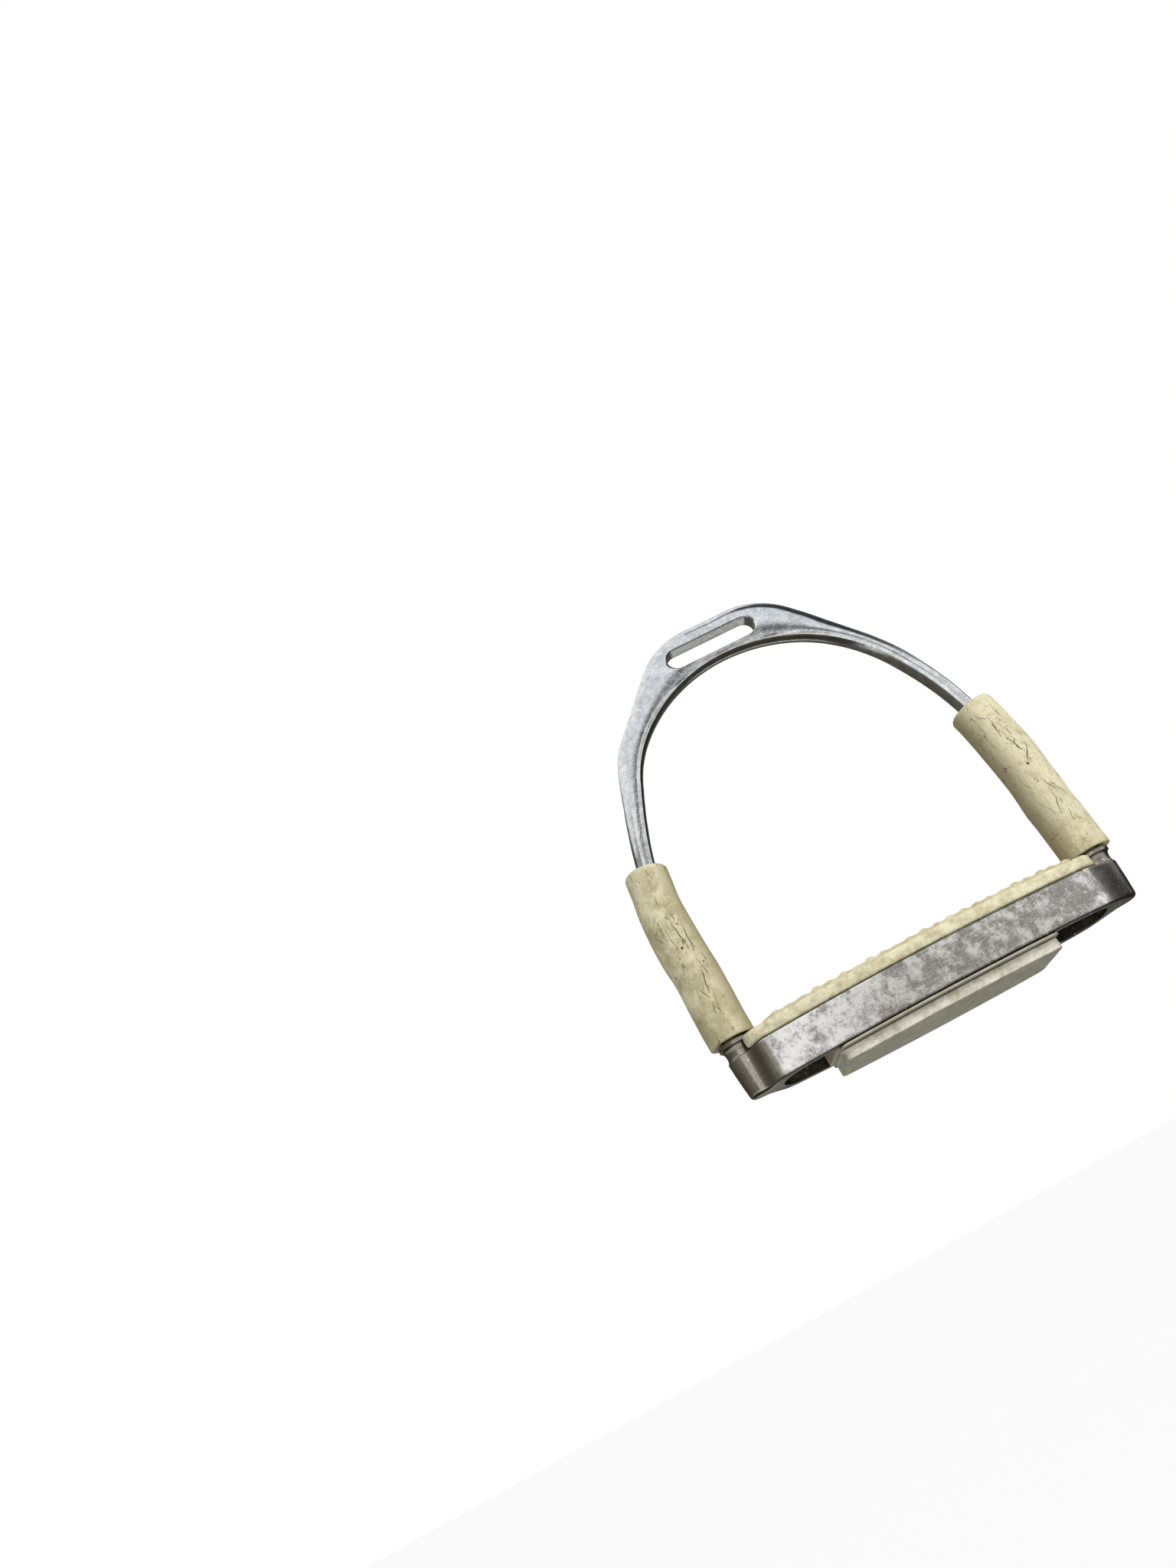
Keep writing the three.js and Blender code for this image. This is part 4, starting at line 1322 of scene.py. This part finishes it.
def plain_steel(name, colour, dark):
    material, tree, shader, _ = new_material(name)
    place = node(tree, "TexCoord").outputs["Object"]
    cloud = node(tree, "TexNoise", {
        "Vector": place, "Scale": per_mm(3), "Detail": 5.0, "Roughness": 0.6})
    tint = node(tree, "Mix", {0: cloud, 6: colour, 7: dark}, data_type="RGBA")
    rough = node(tree, "MapRange", {"Value": cloud, "To Min": 0.4, "To Max": 0.6})
    feed(tree, shader, {"Base Color": tint, "Metallic": 1.0, "Roughness": rough})
    return material


hidden_finishes = {
    "link_plate": plain_steel("blasted_link_steel", "8F8B86", "6F6B66"),
    "rivet": plain_steel("blasted_rivet_steel", "A5A29D", "85827D")}
for name, cad_node in frame["nodes"].items():
    for word, finish in hidden_finishes.items():
        if word in name:
            paint(cad_node, finish)
print("materials:", ", ".join(m.name for m in bpy.data.materials if m.users))

# %% [markdown]
# ## Floor, light and reflections
# The iron hangs clear of a pale floor in soft, even light. The camera, and every ray that metal
# sends on, sees the floor and the world as white, while they light the iron at a plain level.

# %% World
WORLD_STRENGTH = 0.5


def seen_directly(tree):
    """1 for rays from the camera and those that metal or glass sends on, otherwise 0."""
    rays = node(tree, "LightPath").outputs
    seen = rays["Is Camera Ray"]
    for kind in ("Is Glossy Ray", "Is Transmission Ray"):
        seen = node(tree, "Math", {0: seen, 1: rays[kind]}, operation="MAXIMUM")
    return seen


def make_world():
    world = bpy.data.worlds.new("studio")
    bpy.context.scene.world = world
    world.use_nodes = True
    tree = world.node_tree
    tree.nodes.clear()
    light = node(tree, "Background", {"Color": "F2F3F5", "Strength": WORLD_STRENGTH})
    white = node(tree, "Background", {"Color": "FFFFFF", "Strength": 1.0})
    mixed = node(tree, "MixShader", {0: seen_directly(tree), 1: light, 2: white})
    node(tree, "OutputWorld", {0: mixed})


make_world()
print("world strength", WORLD_STRENGTH)

# %% Floor
FLOOR_DROP = 240
FLOOR_SIZE = 18
FLOOR_WHITE = 0.93


def rectangle(name, width, height):
    """A flat stage piece in metres, facing up."""
    mesh = bpy.data.meshes.new(name)
    x, y = width / 2, height / 2
    mesh.from_pydata([(-x, -y, 0), (x, -y, 0), (x, y, 0), (-x, y, 0)], [], [(0, 1, 2, 3)])
    thing = add_object(name, mesh)
    return thing


def make_floor():
    floor = rectangle("floor", FLOOR_SIZE, FLOOR_SIZE)
    floor.location.z = level(-FLOOR_DROP)
    material, tree, shader, output = new_material("pale_floor")
    feed(tree, shader, {"Base Color": "D2D2D0", "Roughness": 0.9})
    share = node(tree, "Math", {0: seen_directly(tree), 1: FLOOR_WHITE}, operation="MULTIPLY")
    white = node(tree, "Emission", {"Color": "FFFFFF", "Strength": 1.0})
    mixed = node(tree, "MixShader", {0: share, 1: shader, 2: white})
    feed(tree, output, {"Surface": mixed})
    paint(floor, material)


make_floor()
print("floor", FLOOR_DROP, "mm below the tread")

# %% [markdown]
# Three large soft lamps give the rubber its gentle shading: most from above the camera, a
# little from both sides. They don't show in the metal, because the cards do that.

# %% Lamps


def aim(thing, place, target):
    thing.location = at(*place)
    thing.rotation_euler = (at(*target) - at(*place)).to_track_quat("-Z", "Y").to_euler()


def softbox(name, place, target, width, height, watts, colour):
    lamp = bpy.data.lights.new(name, "AREA")
    lamp.shape = "RECTANGLE"
    lamp.size, lamp.size_y = width * MM, height * MM
    lamp.energy = watts
    lamp.color = linear(colour)[:3]
    thing = add_object(name, lamp)
    aim(thing, place, target)
    thing.visible_camera = False
    thing.visible_glossy = False


softbox("ceiling_light", (250, -650, 620), (0, 0, 90), 700, 500, 6.0, "F9FAFF")
softbox("side_light", (-620, -420, 260), (0, 0, 60), 350, 500, 1.2, "FFFFFF")
softbox("fill_light", (480, -560, 160), (60, 0, 50), 350, 400, 1.6, "FFFFFF")

# %% [markdown]
# Polished metal shows what is around it, so a product photographer sets grey and black cards
# outside the picture. The cards here glow at their own colour and are seen only in reflections,
# and their edges are soft. Each darkens or lights one part of the steel, and it stays where it
# is for every view.

# %% Reflection cards
CARD_SOLID = 0.38


def card(name, place, target, width, height, colour):
    """A card that glows at its own colour, solid over its middle and clear at its edge."""
    thing = rectangle(name, width * MM, height * MM)
    aim(thing, place, target)
    for rays in ("camera", "diffuse", "transmission", "volume_scatter", "shadow"):
        setattr(thing, "visible_" + rays, False)
    material, tree, _, output = new_material(name)
    local = node(tree, "TexCoord").outputs["Generated"]
    offset = node(tree, "VectorMath", {0: local, 1: (0.5, 0.5, 0.0)}, operation="SUBTRACT")
    across = node(tree, "VectorMath", {0: offset}, operation="ABSOLUTE")
    x, y, _ = node(tree, "SeparateXYZ", {0: across}).outputs
    edge = node(tree, "Math", {0: x, 1: y}, operation="MAXIMUM")
    fade = node(tree, "MapRange", {"Value": edge, "From Min": CARD_SOLID, "From Max": 0.5})
    card_glow = node(tree, "Emission", {"Color": colour, "Strength": 1.0})
    clear = node(tree, "BsdfTransparent")
    feed(tree, output, {"Surface": node(tree, "MixShader", {0: fade, 1: card_glow, 2: clear})})
    paint(thing, material)


card("back_card", (0, 520, 60), (0, 0, 60), 1000, 1100, "565349")
card("under_card", (60, 230, -225), (60, 230, 0), 1500, 840, "3E3B34")
card("front_card", (370, -900, -40), (370, 0, -40), 1080, 560, "BDB9B3")
card("shade_card", (190, -890, 455), (190, 0, 455), 480, 150, "615F5E")
card("right_leg_card", (960, -885, 470), (960, 0, 470), 620, 260, "9FA0A2")
card("sky_card", (220, -760, 860), (20, 0, 150), 1300, 620, "F0F4F8")
card("high_right_card", (440, -190, 680), (30, 0, 150), 760, 560, "3E4144")
card("left_card", (-570, -450, 190), (-60, 0, 80), 600, 800, "918D82")
card("left_back_card", (-612, 431, 180), (-60, 0, 80), 1000, 1000, "5C594F")
card("left_middle_card", (-800, -120, 190), (-60, 0, 80), 520, 900, "716E64")
card("low_back_card", (40, 515, -150), (40, 0, -150), 560, 130, "D0CFCA")
card("right_low_card", (697, 125, -80), (68, 0, 10), 540, 660, "2A2E34")
card("right_back_card", (430, 532, 206), (0, 0, 60), 1020, 1600, "2B2B27")
